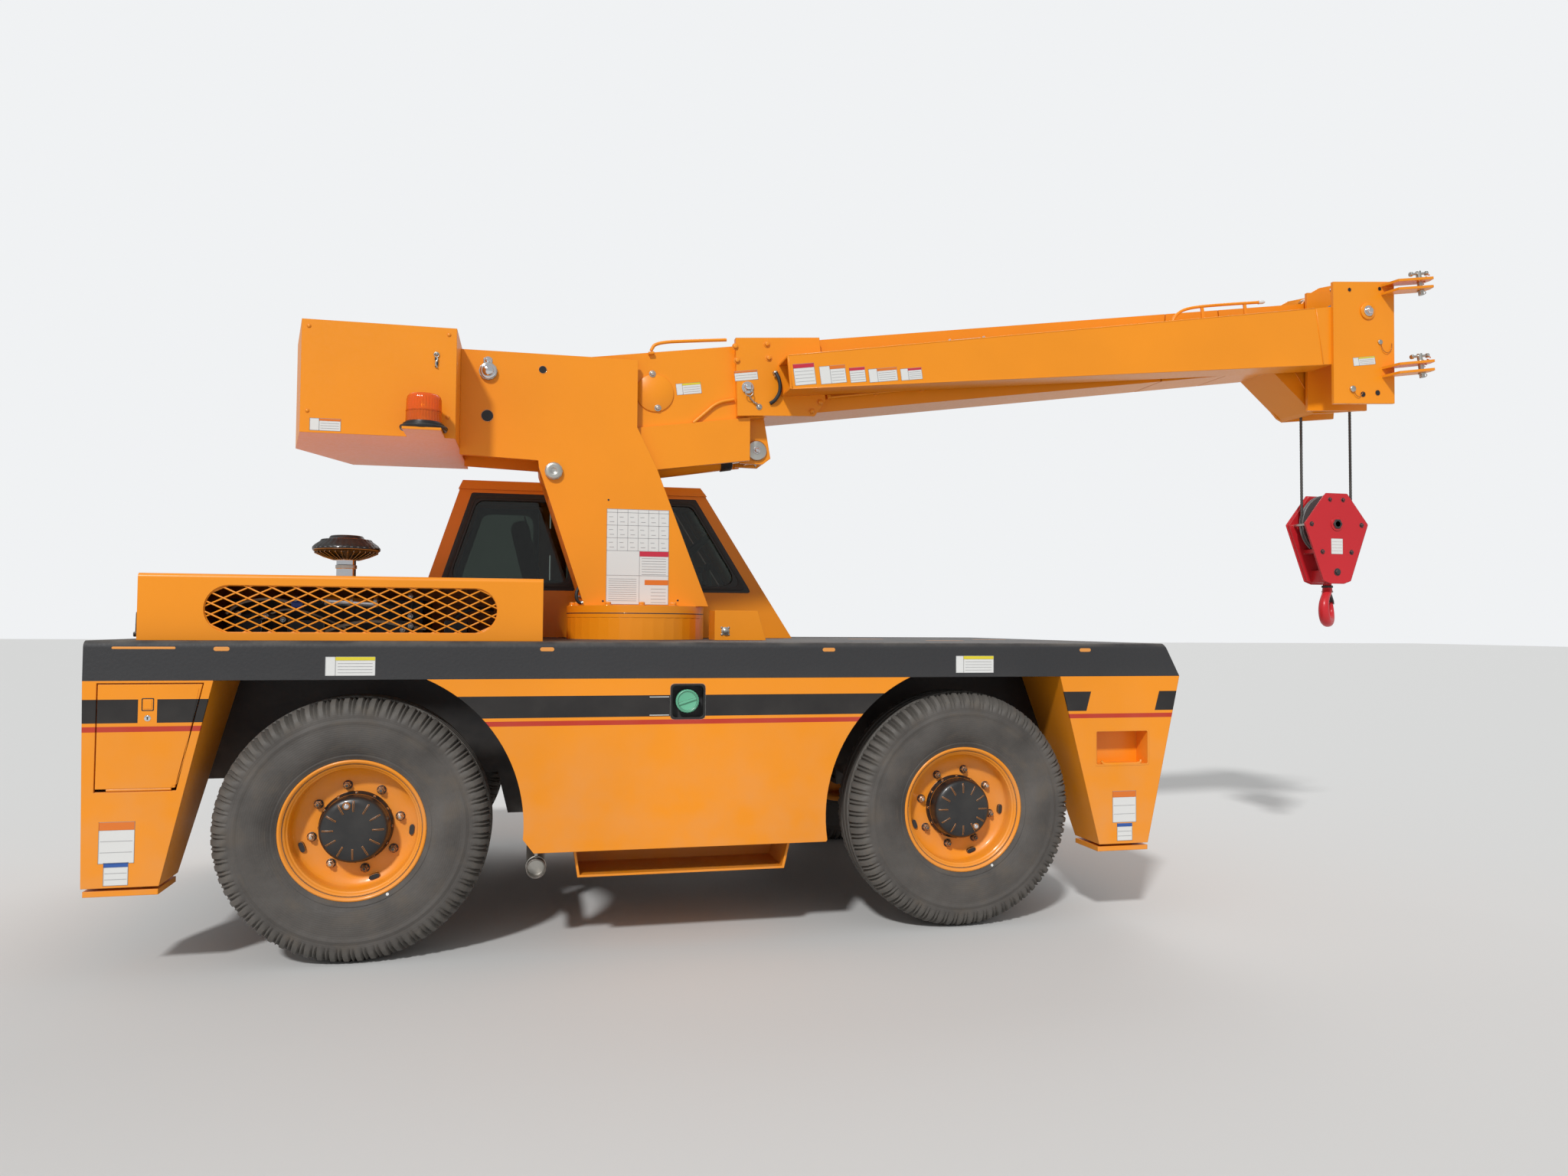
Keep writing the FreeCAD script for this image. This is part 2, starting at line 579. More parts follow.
cut(deck, "XY_Plane", s.deck_top - 1, s.deck_top + 1, rectangle(
    s.seam_along - seam_half, s.seam_along + seam_half, -s.half_width, s.half_width))
keep(deck, "deck")

# Side skirts: one plate a side, cut back round the wheels; the right one has the filler recess.
skirt_inner = s.half_width - s.sheet_wall


def skirt(label, side_low, side_high):
    plate = body_at(label)
    pad(plate, "XZ_Plane", side_low, side_high, polygon(
        (-s.skirt_low_rear, s.skirt_low), (s.skirt_low_front, s.skirt_low),
        (s.skirt_top_front, s.band_low), (-s.skirt_top_rear, s.band_low)))
    cut(plate, "XZ_Plane", side_low - 1, side_high + 1,
        circle(-s.wheelbase / 2, s.hub_height, s.arch_radius),
        circle(s.wheelbase / 2, s.hub_height, s.arch_radius))
    return plate


right_skirt = skirt("right_skirt", -s.half_width, -skirt_inner)
fuel_half = s.fuel_size / 2
fuel_corners = [(s.fuel_along + one * fuel_half, s.fuel_height + two * fuel_half)
                for one, two in ((-1, -1), (1, -1), (1, 1), (-1, 1))]
cut(right_skirt, "XZ_Plane", -s.half_width - 1, -skirt_inner + 1, polygon(*fuel_corners))
left_skirt = skirt("left_skirt", skirt_inner, s.half_width)
compound("side_skirts", right_skirt, left_skirt)

# Filler recess: an open tray behind the skirt with the round cap on a short neck.
filler = body_at("fuel_filler")
recess_wall = 5
tray_half = fuel_half + recess_wall
pad(filler, "XZ_Plane", -skirt_inner, -skirt_inner + s.fuel_depth,
    rectangle(s.fuel_along - tray_half, s.fuel_along + tray_half,
              s.fuel_height - tray_half, s.fuel_height + tray_half))
cut(filler, "XZ_Plane", -skirt_inner - 1, -skirt_inner + s.fuel_depth - recess_wall,
    rectangle(s.fuel_along - fuel_half, s.fuel_along + fuel_half,
              s.fuel_height - fuel_half, s.fuel_height + fuel_half))
pad(filler, "XZ_Plane", -skirt_inner + 4, -skirt_inner + s.fuel_depth - recess_wall,
    many_sided(s.fuel_along, s.fuel_height, s.fuel_cap_radius, s.facets))
keep(filler, "fuel_filler")

# Outrigger housings: tapered boxes at the four corners, open below, leaning inwards on the inner side.
housing_table = [
    # end, top outer, top wheel side, low wheel side, low outer
    ("front", s.deck_front_low, s.front_housing_top_rear, s.front_housing_low_rear,
     s.front_housing_low_front),
    ("rear", -s.deck_rear, -s.rear_housing_top_front, -s.rear_housing_low_front,
     -s.rear_housing_low_rear),
]


def housing_block(label, corners, inset):
    """The space of a right-hand housing, drawn in by its wall for the hollow."""
    top_outer, top_inner, low_inner, low_outer = corners
    way = 1 if float(top_outer) > 0 else -1
    shift = inset * (1.04 * way)
    below = 1 if float(inset) > 0 else 0
    block = body_at(label)
    pad(block, "XZ_Plane", -s.half_width + inset, -s.housing_inner_top - inset, polygon(
        (low_inner + shift, s.housing_low - below), (low_outer - shift, s.housing_low - below),
        (top_outer - shift, s.band_low - inset), (top_inner + shift, s.band_low - inset)))
    reach = s.deck_front_low
    cut(block, "YZ_Plane", -reach - 1, reach + 1, polygon(
        (-s.housing_inner_low - inset, s.housing_low - 2),
        (-s.housing_inner_top - inset, s.band_low + 1),
        (-s.housing_inner_top + 1, s.band_low + 1),
        (-s.housing_inner_top + 1, s.housing_low - 2)))
    return block


shelf_levels = (s.housing_low + 30, s.housing_low + 200)
shelf = 12
liner_wall = 5
leg_across = (s.half_width + s.housing_inner_low) / 2
leg_foot = s.foot_low + s.foot_plate
leg_slope = sine(s.leg_lean) / cosine(s.leg_lean)


def leg_outline(extra, low, high):
    """A leg's tube seen from the front, on the right side, between two heights."""
    reach = (s.leg_tube / 2 + extra) / cosine(s.leg_lean)
    corners = []
    for height, way in ((low, -1), (low, 1), (high, 1), (high, -1)):
        corners.append((-leg_across + (height - leg_foot) * leg_slope + reach * way, height))
    return polygon(*corners)


relief_depth, relief_drop = 4, 1.2
housings = []
for end, *corners in housing_table:
    outer = housing_block(end + "_housing_outside", corners, Size(0, "0"))
    hollow = housing_block(end + "_housing_hollow", corners, s.sheet_wall)
    for level in shelf_levels:
        cut(hollow, "XY_Plane", level, level + shelf, rectangle(
            -s.deck_front_low, s.deck_front_low, -s.half_width, -s.housing_inner_top + 1))
    leg_along = (corners[2] + corners[3]) / 2
    slot = body_at(end + "_leg_slot")
    slot_play = s.leg_tube / 2 + 0.3
    pad(slot, "YZ_Plane", leg_along - slot_play, leg_along + slot_play,
        leg_outline(0.3, s.housing_low - 1, shelf_levels[1] + 60))
    tools = [hollow, slot]
    walls = doc.addObject("Part::Cut", end + "_housing")
    walls.Base = outer
    walls.Tool = doc.addObject("Part::MultiFuse", end + "_housing_space")
    walls.Tool.Shapes = tools
    if end == "rear":
        opening = body_at("storage_opening")
        sill_low = s.door_low - s.door_hinge_radius - 0.3
        pad(opening, "XZ_Plane", -s.half_width - 1, -skirt_inner + 1, polygon(
            (-s.door_rear - s.door_gap, sill_low), (-s.door_low_front + s.door_gap, sill_low),
            (-s.door_top_front + s.door_gap, s.door_top), (-s.door_rear - s.door_gap, s.door_top)))
        relief = body_at("hinge_relief")
        pad(relief, "XZ_Plane", -s.half_width - 1, -s.half_width + relief_depth, rectangle(
            -s.door_rear - s.door_gap, -s.door_low_front + s.door_gap, sill_low - relief_drop, sill_low + 1))
        plain = walls
        walls = doc.addObject("Part::Cut", "right_rear_housing")
        walls.Base = plain
        walls.Tool = doc.addObject("Part::MultiFuse", "storage_openings")
        walls.Tool.Shapes = [opening, relief]
        housings += [walls, mirrored(plain, end + "_housing_left")]
    else:
        liner = body_at("step_pocket")
        pad(liner, "XZ_Plane", -s.half_width, -s.half_width + s.pocket_depth, rectangle(
            s.pocket_rear - liner_wall, s.pocket_front + liner_wall,
            s.pocket_low - liner_wall, s.pocket_high + liner_wall))
        hole = body_at("step_pocket_space")
        pad(hole, "XZ_Plane", -s.half_width - 1, -s.half_width + s.pocket_depth - liner_wall, rectangle(
            s.pocket_rear, s.pocket_front, s.pocket_low, s.pocket_high))
        lined = doc.addObject("Part::MultiFuse", "lined_housing")
        lined.Shapes = [walls, liner]
        walls = doc.addObject("Part::Cut", "front_housing_right")
        walls.Base = lined
        walls.Tool = hole
        housings += [walls, mirrored(walls, end + "_housing_left")]
compound("outrigger_housings", *housings)

# Storage door: closes the right rear housing, hinged along its lower edge.
storage_door = body_at("storage_door")
pad(storage_door, "XZ_Plane", -s.half_width, -skirt_inner, polygon(
    (-s.door_rear, s.door_low + s.door_gap), (-s.door_low_front, s.door_low + s.door_gap),
    (-s.door_top_front, s.door_top - s.door_gap), (-s.door_rear, s.door_top - s.door_gap)))
pad(storage_door, "YZ_Plane", -s.door_rear + 31, -s.door_low_front - 11,
    circle(-s.half_width + s.sheet_wall / 2, s.door_low, s.door_hinge_radius))
keep(storage_door, "storage_door")

# Outrigger legs: square tubes that slide down and out of the housings, each on a welded foot.
leg_table = [
    ("front_right", 1, -1), ("front_left", 1, 1), ("rear_right", -1, -1), ("rear_left", -1, 1),
]
for corner, fore, side in leg_table:
    if fore > 0:
        leg_along = (s.front_housing_low_front + s.front_housing_low_rear) / 2
    else:
        leg_along = -(s.rear_housing_low_front + s.rear_housing_low_rear) / 2
    leg = body_at("right_leg_" + corner)
    half_tube = s.leg_tube / 2
    pad(leg, "YZ_Plane", leg_along - half_tube, leg_along + half_tube,
        leg_outline(0, leg_foot, leg_foot + s.leg_length))
    half_foot = s.foot_width / 2
    pad(leg, "XY_Plane", s.foot_low, leg_foot, rectangle(
        leg_along - s.foot_length / 2, leg_along + s.foot_length / 2,
        -leg_across - half_foot, -leg_across + half_foot))
    keep(leg if side < 0 else mirrored(leg, "mirrored_leg"), "leg_" + corner)

# Bulkheads between the housings, with round openings for the lamps.
bulkheads = []
lamps = []
inner_low = s.housing_inner_top + (s.band_low - s.bulkhead_low) * (
    (s.housing_inner_low - s.housing_inner_top) / (s.band_low - s.housing_low))
front_fall = (s.deck_front_low - s.front_housing_low_front) / (s.band_low - s.housing_low)
front_low = s.deck_front_low - (s.band_low - s.bulkhead_low) * front_fall
front_wall = s.sheet_wall * 1.03
seam = 0.6
front_lamp = s.deck_front_low - (s.band_low - s.lamp_height) * front_fall
for end in ("front", "rear"):
    sheet = body_at(end + "_bulkhead")
    if end == "front":
        low_x, high_x = front_low - front_wall, s.deck_front_low
    else:
        low_x, high_x = -s.deck_rear, -s.deck_rear + s.sheet_wall
    pad(sheet, "YZ_Plane", low_x, high_x, polygon(
        (-inner_low + seam, s.bulkhead_low), (inner_low - seam, s.bulkhead_low),
        (s.housing_inner_top - seam, s.band_low), (-s.housing_inner_top + seam, s.band_low)))
    if end == "front":
        cut(sheet, "XZ_Plane", -s.half_width, s.half_width,
            polygon((front_low, s.bulkhead_low), (s.deck_front_low + 1, s.bulkhead_low - 1),
                    (s.deck_front_low + 1, s.band_low + 1), (s.deck_front_low, s.band_low)),
            polygon((front_low - front_wall, s.bulkhead_low), (s.deck_front_low - front_wall, s.band_low),
                    (front_low - front_wall - 1, s.band_low + 1),
                    (front_low - front_wall - 1, s.bulkhead_low)))
    cut(sheet, "YZ_Plane", low_x - 1, high_x + 1,
        many_sided(-s.lamp_across, s.lamp_height, s.lamp_radius, s.facets),
        many_sided(s.lamp_across, s.lamp_height, s.lamp_radius, s.facets))
    bulkheads.append(sheet)
    lamp_depth = 60
    for side in (-1, 1):
        lamp = body_at("%s_lamp_%d" % (end, side))
        bowl = s.lamp_radius - 0.2
        if end == "front":
            pad(lamp, "YZ_Plane", front_lamp - lamp_depth, front_lamp + 10,
                many_sided(s.lamp_across * side, s.lamp_height, bowl, s.facets))
        else:
            pad(lamp, "YZ_Plane", -s.deck_rear, -s.deck_rear + lamp_depth,
                many_sided(s.lamp_across * side, s.lamp_height, bowl, s.facets))
        lamps.append(lamp)
compound("end_bulkheads", *bulkheads)
compound("lamps", *lamps)

# Engine hood: a box open below, with a long stadium opening in its right side.
hood = body_at("engine_hood")
pad(hood, "XY_Plane", s.deck_top, s.hood_top,
    rectangle(-s.hood_rear, -s.hood_front, -s.hood_right, s.hood_left))
soften(hood, s.hood_round, "YZ_Plane", (-s.hood_right, s.hood_top), (s.hood_left, s.hood_top))
cut(hood, "XY_Plane", s.deck_top - 1, s.hood_top - s.hood_wall, rectangle(
    -s.hood_rear + s.hood_wall, -s.hood_front - s.hood_wall, -s.hood_right + s.hood_wall,
    s.hood_left - s.hood_wall))
half_run = (s.grille_long - s.grille_tall) / 2
grille_end = s.grille_tall / 2
for outline in (rectangle(-s.grille_middle - half_run, -s.grille_middle + half_run,
                          s.grille_height - grille_end, s.grille_height + grille_end),
                circle(-s.grille_middle - half_run, s.grille_height, grille_end),
                circle(-s.grille_middle + half_run, s.grille_height, grille_end)):
    cut(hood, "XZ_Plane", -s.hood_right - 1, -s.hood_right + s.hood_wall + 1, outline)
cut(hood, "XY_Plane", s.hood_top - s.hood_wall - 1, s.hood_top + 1,
    circle(-s.cleaner_along, -s.cleaner_across, s.cleaner_stem + 0.2))
keep(hood, "engine_hood")

# Grille: expanded metal behind the opening, rows of diamonds offset by half a pitch.
lattice = doc.addObject("Part::Feature", "hood_grille")


def stadium(length, height):
    """A flat stadium round the origin, in X and Z."""
    half, end = (length - height) / 2, height / 2
    corners = [vector(-half, 0, -end), vector(half, 0, -end), vector(half, 0, end), vector(-half, 0, end)]
    right = Part.Arc(corners[1], vector(half + end, 0, 0), corners[2]).toShape()
    left = Part.Arc(corners[3], vector(-half - end, 0, 0), corners[0]).toShape()
    return Part.Wire([Part.makeLine(corners[0], corners[1]), right,
                      Part.makeLine(corners[2], corners[3]), left])


def expanded_metal():
    """The grille's plate with its diamonds; only whole diamonds inside the opening are cut."""
    length, height = float(s.grille_long), float(s.grille_tall)
    lap, thick = float(s.grille_lap), float(s.grille_plate)
    pitch, rise, web = float(s.diamond_long), float(s.diamond_tall), float(s.strand)
    wires = [stadium(length + 2 * lap, height + 2 * lap)]
    half_long = pitch / 2 - web * 0.9
    half_tall = rise / 2 - web * 0.5
    rows = int(height / rise) + 1
    for row in range(-rows, rows + 1):
        level = row * rise / 2
        shift = pitch / 2 if row % 2 else 0
        room = half_run_at(level, length, height) - half_long * 0.6
        column = 0
        places = []
        while column * pitch + shift <= room:
            places += [column * pitch + shift, -column * pitch - shift]
            column += 1
        if abs(level) + half_tall > height / 2 + web:
            continue
        for place in sorted(set(places)):
            points = [vector(place + half_long, 0, level), vector(place, 0, level + half_tall),
                      vector(place - half_long, 0, level), vector(place, 0, level - half_tall)]
            wires.append(Part.makePolygon(points + points[:1]))
    plate = Part.Face(wires, "Part::FaceMakerBullseye")
    return plate.extrude(vector(0, thick, 0))


def half_run_at(level, length, height):
    """Half of the opening's length at a level over its middle."""
    end = height / 2
    reach = math.sqrt(max(end * end - level * level, 0))
    return (length - height) / 2 + reach


lattice.Shape = expanded_metal()
locate(lattice, -s.grille_middle, -s.hood_right + s.hood_wall, s.grille_height)
keep(lattice, "hood_grille")

# Engine: a plain block on two cross mounts between the frame's side plates.
engine = body_at("engine_block")
pad(engine, "XY_Plane", s.engine_low, s.engine_top, rectangle(
    -s.engine_rear, -s.engine_front, -s.engine_right, s.engine_left))
mount_half = 45
for along in (-s.engine_rear + 120, -s.engine_front - 120):
    pad(engine, "XZ_Plane", -bay_side, bay_side, rectangle(
        along - mount_half, along + mount_half, s.engine_low + 40, s.engine_low + 90))
keep(engine, "engine_block")

# Air pre-cleaner: a mushroom cap on a bright stem that stands through the hood.
cleaner = faceted("air_precleaner", s.facets, [
    (s.hood_top - 60, 0), (s.hood_top - 60, s.cleaner_stem), (s.cleaner_cap_low, s.cleaner_stem),
    (s.cleaner_cap_low, s.cleaner_cap * 0.8), (s.cleaner_cap_low + 26, s.cleaner_cap),
    (s.cleaner_cap_low + 42, s.cleaner_cap * 0.93), (s.cleaner_top - 10, s.cleaner_cap * 0.72),
    (s.cleaner_top, s.cleaner_cap * 0.3), (s.cleaner_top, 0)])
locate(cleaner, -s.cleaner_along, -s.cleaner_across)
keep(cleaner, "air_precleaner")

# Side steps: a low tray under each skirt, hung from its back plate.
step = body_at("right_step")
tray_wall = 8
pad(step, "XZ_Plane", -s.tray_outer, -s.tray_inner, polygon(
    (-s.tray_rear, s.tray_low), (s.tray_front - 30, s.tray_low),
    (s.tray_front, s.skirt_low + 30), (-s.tray_rear - 20, s.skirt_low + 30)))
cut(step, "XZ_Plane", -s.tray_outer - 1, -s.tray_inner - tray_wall, polygon(
    (-s.tray_rear + tray_wall, s.tray_low + tray_wall),
    (s.tray_front - 30 - tray_wall, s.tray_low + tray_wall),
    (s.tray_front - tray_wall, s.skirt_low + 31), (-s.tray_rear - 20 + tray_wall, s.skirt_low + 31)))
pad(step, "XZ_Plane", -s.tray_inner - tray_wall, -s.tray_inner,
    rectangle(-s.tray_rear + 60, s.tray_front - 90, s.skirt_low, s.belly_low + 60))
pad(step, "XY_Plane", s.belly_low + 40, s.belly_low + 60,
    rectangle(-s.tray_rear + 60, s.tray_front - 90, -s.tray_inner, -s.frame_half))
compound("side_steps", step, mirrored(step, "left_step"))

# Exhaust: a tailpipe with a turned-out end on a short hanger from the frame.
exhaust = body_at("exhaust_pipe", -s.pipe_along, 0, s.pipe_height)
pad(exhaust, "XZ_Plane", -s.pipe_end, -s.frame_half, many_sided(0, 0, s.pipe_radius, s.facets))
pad(exhaust, "XY_Plane", 0, s.belly_low + 60 - s.pipe_height,
    rectangle(-20, 20, -s.frame_half - 40, -s.frame_half))
cut(exhaust, "XZ_Plane", -s.pipe_end - 1, -s.frame_half - 60,
    many_sided(0, 0, s.pipe_radius - 4, s.facets))
keep(exhaust, "exhaust_pipe")

# Axles: a beam with the differential's bowl, mounting pads under the frame and a yoke at each end.
axles = []
yoke_end = s.kingpin_across + s.yoke_half
for end, way in (("front", 1), ("rear", -1)):
    axle = body_at(end + "_axle", s.wheelbase / 2 * way, 0, s.hub_height)
    beam_end = s.kingpin_across - s.yoke_half - 20
    pad(axle, "XZ_Plane", -beam_end, beam_end, circle(0, 0, s.beam_radius))
    pad_top = s.frame_low - s.hub_height
    for side in (-1, 1):
        middle = (s.frame_half - 60) * side
        pad(axle, "XY_Plane", 0, pad_top, rectangle(-s.yoke_half, s.yoke_half, middle - 50, middle + 50))
        inner, outer = sorted([beam_end * side, yoke_end * side], key=float)
        neck = sorted([(beam_end - 20) * side, beam_end * side], key=float)
        pad(axle, "XZ_Plane", neck[0], neck[1], rectangle(
            -s.yoke_half, s.yoke_half, -s.yoke_gap - s.yoke_lug, s.yoke_gap + s.yoke_lug))
        for low in (s.yoke_gap, -s.yoke_gap - s.yoke_lug):
            pad(axle, "XY_Plane", low, low + s.yoke_lug, rectangle(
                -s.yoke_half, s.yoke_half, inner, outer))
        pad(axle, "XY_Plane", s.yoke_gap + s.yoke_lug, s.yoke_gap + s.yoke_lug + 12,
            circle(0, s.kingpin_across * side, s.kingpin_cap))
    bowl = faceted(end + "_bowl", s.facets * 0.6, [
        (-s.bowl_radius, 0), (-s.bowl_radius, s.beam_radius + 6), (-s.bowl_radius * 0.4, s.bowl_radius),
        (s.bowl_radius * 0.4, s.bowl_radius), (s.bowl_radius, s.beam_radius + 6), (s.bowl_radius, 0)], "Y")
    locate(bowl, s.wheelbase / 2 * way, 0, s.hub_height)
    whole_axle = doc.addObject("Part::MultiFuse", end + "_axle_and_bowl")
    whole_axle.Shapes = [axle, bowl]
    axles.append(whole_axle)
compound("axles", *axles)

# Knuckles, wheels and tyres at the four corners.
for corner, fore, side in leg_table:
    along = s.wheelbase / 2 * fore
    knuckle = body_at("knuckle_" + corner, along, s.kingpin_across * side, s.hub_height)
    pad(knuckle, "XY_Plane", -s.yoke_gap + 0.3, s.yoke_gap - 0.3,
        many_sided(0, 0, s.knuckle_radius, s.facets * 0.6))
    reach = s.wheel_across - s.kingpin_across - 20
    root, root_half = 56, 40
    low, high = sorted((root * side, 20 * side))
    pad(knuckle, "XZ_Plane", low, high, rectangle(-root_half, root_half, -s.spindle_radius, s.spindle_radius))
    low, high = sorted((root * side, reach * side), key=float)
    pad(knuckle, "XZ_Plane", low, high, many_sided(0, 0, s.spindle_radius, s.facets * 0.6))
    keep(knuckle, "knuckle_" + corner)

    lip = s.bead_half + 9
    boss_face = s.kingpin_across + reach - s.wheel_across + 0.3
    profile = [
        (s.hub_out, 0), (s.hub_out, s.hub_radius * 0.8), (s.hub_out - 30, s.hub_radius),
        (s.disc_out, s.hub_radius), (s.disc_out, s.disc_flat), (s.bead_half - 8, s.rim_radius - s.rim_wall),
        (lip, s.rim_flange), (s.bead_half, s.rim_flange), (s.bead_half, s.rim_radius),
        (-s.bead_half, s.rim_radius), (-s.bead_half, s.rim_flange), (-lip, s.rim_flange),
        (-lip, s.rim_radius - s.rim_wall), (s.disc_out + 12, s.rim_radius - s.rim_wall),
        (s.disc_out - s.rim_wall, s.disc_flat), (boss_face, s.spindle_radius + 24), (boss_face, 0)]
    wheel = faceted("wheel_" + corner, s.facets, [(one * side, two) for one, two in profile], "Y")
    locate(wheel, along, s.wheel_across * side, s.hub_height)
    keep(wheel, "wheel_" + corner)

    bead = s.bead_half - 0.3
    half_profile = [
        (bead, s.rim_radius + 0.3), (bead, s.rim_flange + 1), (s.tyre_half, s.rim_flange + 70),
        (s.tyre_half - 6, s.tyre_radius - 42), (s.tyre_half - 60, s.tyre_radius)]
    other_half = [(-one, two) for one, two in reversed(half_profile)]
    tyre = faceted("tyre_" + corner, s.tyre_facets, half_profile + other_half, "Y")
    locate(tyre, along, s.wheel_across * side, s.hub_height)
    keep(tyre, "tyre_" + corner)

# Cab: a hollow shell of plate with window openings, a roof panel and a door on the left.
nose_run = s.cab_low_front - s.cab_nose_along
rear_lean = (s.cab_low_rear - s.cab_roof_rear) / (s.cab_top - s.deck_top)
front_lean = (s.cab_nose_along - s.cab_roof_front) / (s.cab_top - s.cab_nose_height)


def cab_rear(height):
    """The cab's rear face at a height."""
    return -s.cab_low_rear + (height - s.deck_top) * rear_lean


def cab_front(height):
    """The cab's front face at a height over its bend."""
    return s.cab_nose_along - (height - s.cab_nose_height) * front_lean


cab = body_at("cab_shell")
pad(cab, "XZ_Plane", s.cab_right, s.cab_left, polygon(
    (-s.cab_low_rear, s.deck_top), (s.cab_low_front, s.deck_top),
    (s.cab_nose_along, s.cab_nose_height), (cab_front(s.cab_eaves), s.cab_eaves),
    (cab_rear(s.cab_eaves), s.cab_eaves)))
cab_floor = s.deck_top + s.cab_wall
slant = s.cab_wall * 1.2
cut(cab, "XZ_Plane", s.cab_right + s.cab_wall, s.cab_left - s.cab_wall, polygon(
    (cab_rear(cab_floor) + slant, cab_floor), (s.cab_low_front - slant * 1.4, cab_floor),
    (s.cab_nose_along - slant, s.cab_nose_height), (cab_front(s.cab_eaves + 1) - slant, s.cab_eaves + 1),
    (cab_rear(s.cab_eaves + 1) + slant, s.cab_eaves + 1)))
rear_window = polygon(
    (cab_rear(s.sill) + s.window_border, s.sill), (-s.post_rear, s.sill), (-s.post_rear, s.lintel),
    (cab_rear(s.lintel) + s.window_border, s.lintel))
front_window = polygon(
    (-s.post_front, s.sill), (s.cab_nose_along - s.window_border, s.sill),
    (s.cab_nose_along - s.window_border, s.cab_nose_height),
    (cab_front(s.lintel) - s.window_border, s.lintel), (-s.post_front, s.lintel))
cut(cab, "XZ_Plane", s.cab_right - 1, s.cab_right + s.cab_wall + 1, rear_window, front_window)
cut(cab, "XZ_Plane", s.cab_left - s.cab_wall - 1, s.cab_left + 1, polygon(
    (cab_rear(s.sill) + s.window_border, s.sill), (-s.cab_door_rear - 60, s.sill),
    (-s.cab_door_rear - 60, s.lintel), (cab_rear(s.lintel) + s.window_border, s.lintel)))
door_front_top = cab_front(s.lintel) - s.window_border
door_outline = [
    (-s.cab_door_rear, s.cab_door_low), (s.cab_door_front, s.cab_door_low),
    (s.cab_nose_along - s.window_border - 20, s.cab_nose_height), (door_front_top - 20, s.lintel),
    (-s.cab_door_rear, s.lintel)]
gap = s.cab_door_gap
cut(cab, "XZ_Plane", s.cab_left - s.cab_wall - 1, s.cab_left + 1, polygon(
    (-s.cab_door_rear - gap, s.cab_door_low - gap), (s.cab_door_front + gap, s.cab_door_low - gap),
    (s.cab_nose_along - s.window_border - 20 + gap * 1.2, s.cab_nose_height),
    (door_front_top - 20 + gap * 0.6, s.lintel + gap), (-s.cab_door_rear - gap, s.lintel + gap)))
pane_inner = s.cab_right + s.cab_wall + s.window_border / 2
pane_outer = s.cab_left - s.cab_wall - s.window_border / 2
hinge_levels = (s.cab_door_low + 90, s.lintel - 200)
hinge_long = 70
for level in hinge_levels:
    for low in (level - hinge_long / 2 - 0.3, level + hinge_long + 0.3):
        pad(cab, "XY_Plane", low, low + hinge_long / 2, many_sided(
            -s.cab_door_rear - gap / 2, s.cab_left + s.door_knuckle + 0.3, s.door_knuckle, s.facets / 2))
        pad(cab, "XY_Plane", low, low + hinge_long / 2, rectangle(
            -s.cab_door_rear - gap / 2 - 46, -s.cab_door_rear - gap / 2 - 4, s.cab_left, s.cab_left + 6))
cut(cab, "YZ_Plane", cab_front(s.lintel) - slant * 2, s.cab_nose_along + 1,
    rectangle(pane_inner, pane_outer, s.cab_nose_height + 24, s.lintel))
cut(cab, "YZ_Plane", cab_rear(s.sill) - 20, cab_rear(s.lintel) + slant * 2,
    rectangle(pane_inner, pane_outer, s.sill + 40, s.lintel))
keep(cab, "cab_shell")

roof = body_at("cab_roof")
roof_over = 6
pad(roof, "XZ_Plane", s.cab_right - roof_over, s.cab_left + roof_over, polygon(
    (cab_rear(s.cab_eaves) - roof_over, s.cab_eaves), (cab_front(s.cab_eaves) + roof_over, s.cab_eaves),
    (cab_front(s.cab_top), s.cab_top), (cab_rear(s.cab_top), s.cab_top)))
keep(roof, "cab_roof")

# Cab glass: side panes and the rear pane and windscreen, held in the middle of the walls.
pane_play = 0.3
glass_parts = []
right_glass = body_at("right_glass")
pane_low = s.cab_right + s.cab_wall / 2 - s.glass / 2
pad(right_glass, "XZ_Plane", pane_low, pane_low + s.glass, rear_window, front_window)
glass_parts.append(right_glass)
left_glass = body_at("left_glass")
pane_left = s.cab_left - s.cab_wall / 2 - s.glass / 2
pad(left_glass, "XZ_Plane", pane_left, pane_left + s.glass, polygon(
    (cab_rear(s.sill) + s.window_border, s.sill), (-s.cab_door_rear - 60, s.sill),
    (-s.cab_door_rear - 60, s.lintel), (cab_rear(s.lintel) + s.window_border, s.lintel)))
glass_parts.append(left_glass)
windscreen = body_at("windscreen")
screen_low, screen_high = s.cab_nose_height + 24, s.lintel
screen_in = slant / 2
pad(windscreen, "XZ_Plane", pane_inner, pane_outer, polygon(
    (cab_front(screen_low) - screen_in - s.glass, screen_low),
    (cab_front(screen_low) - screen_in, screen_low),
    (cab_front(screen_high) - screen_in, screen_high),
    (cab_front(screen_high) - screen_in - s.glass, screen_high)))
glass_parts.append(windscreen)
rear_pane = body_at("rear_pane")
pad(rear_pane, "XZ_Plane", pane_inner, pane_outer, polygon(
    (cab_rear(s.sill + 40) + screen_in, s.sill + 40),
    (cab_rear(s.sill + 40) + screen_in + s.glass, s.sill + 40),
    (cab_rear(s.lintel) + screen_in + s.glass, s.lintel), (cab_rear(s.lintel) + screen_in, s.lintel)))
glass_parts.append(rear_pane)
compound("cab_glass", *glass_parts)

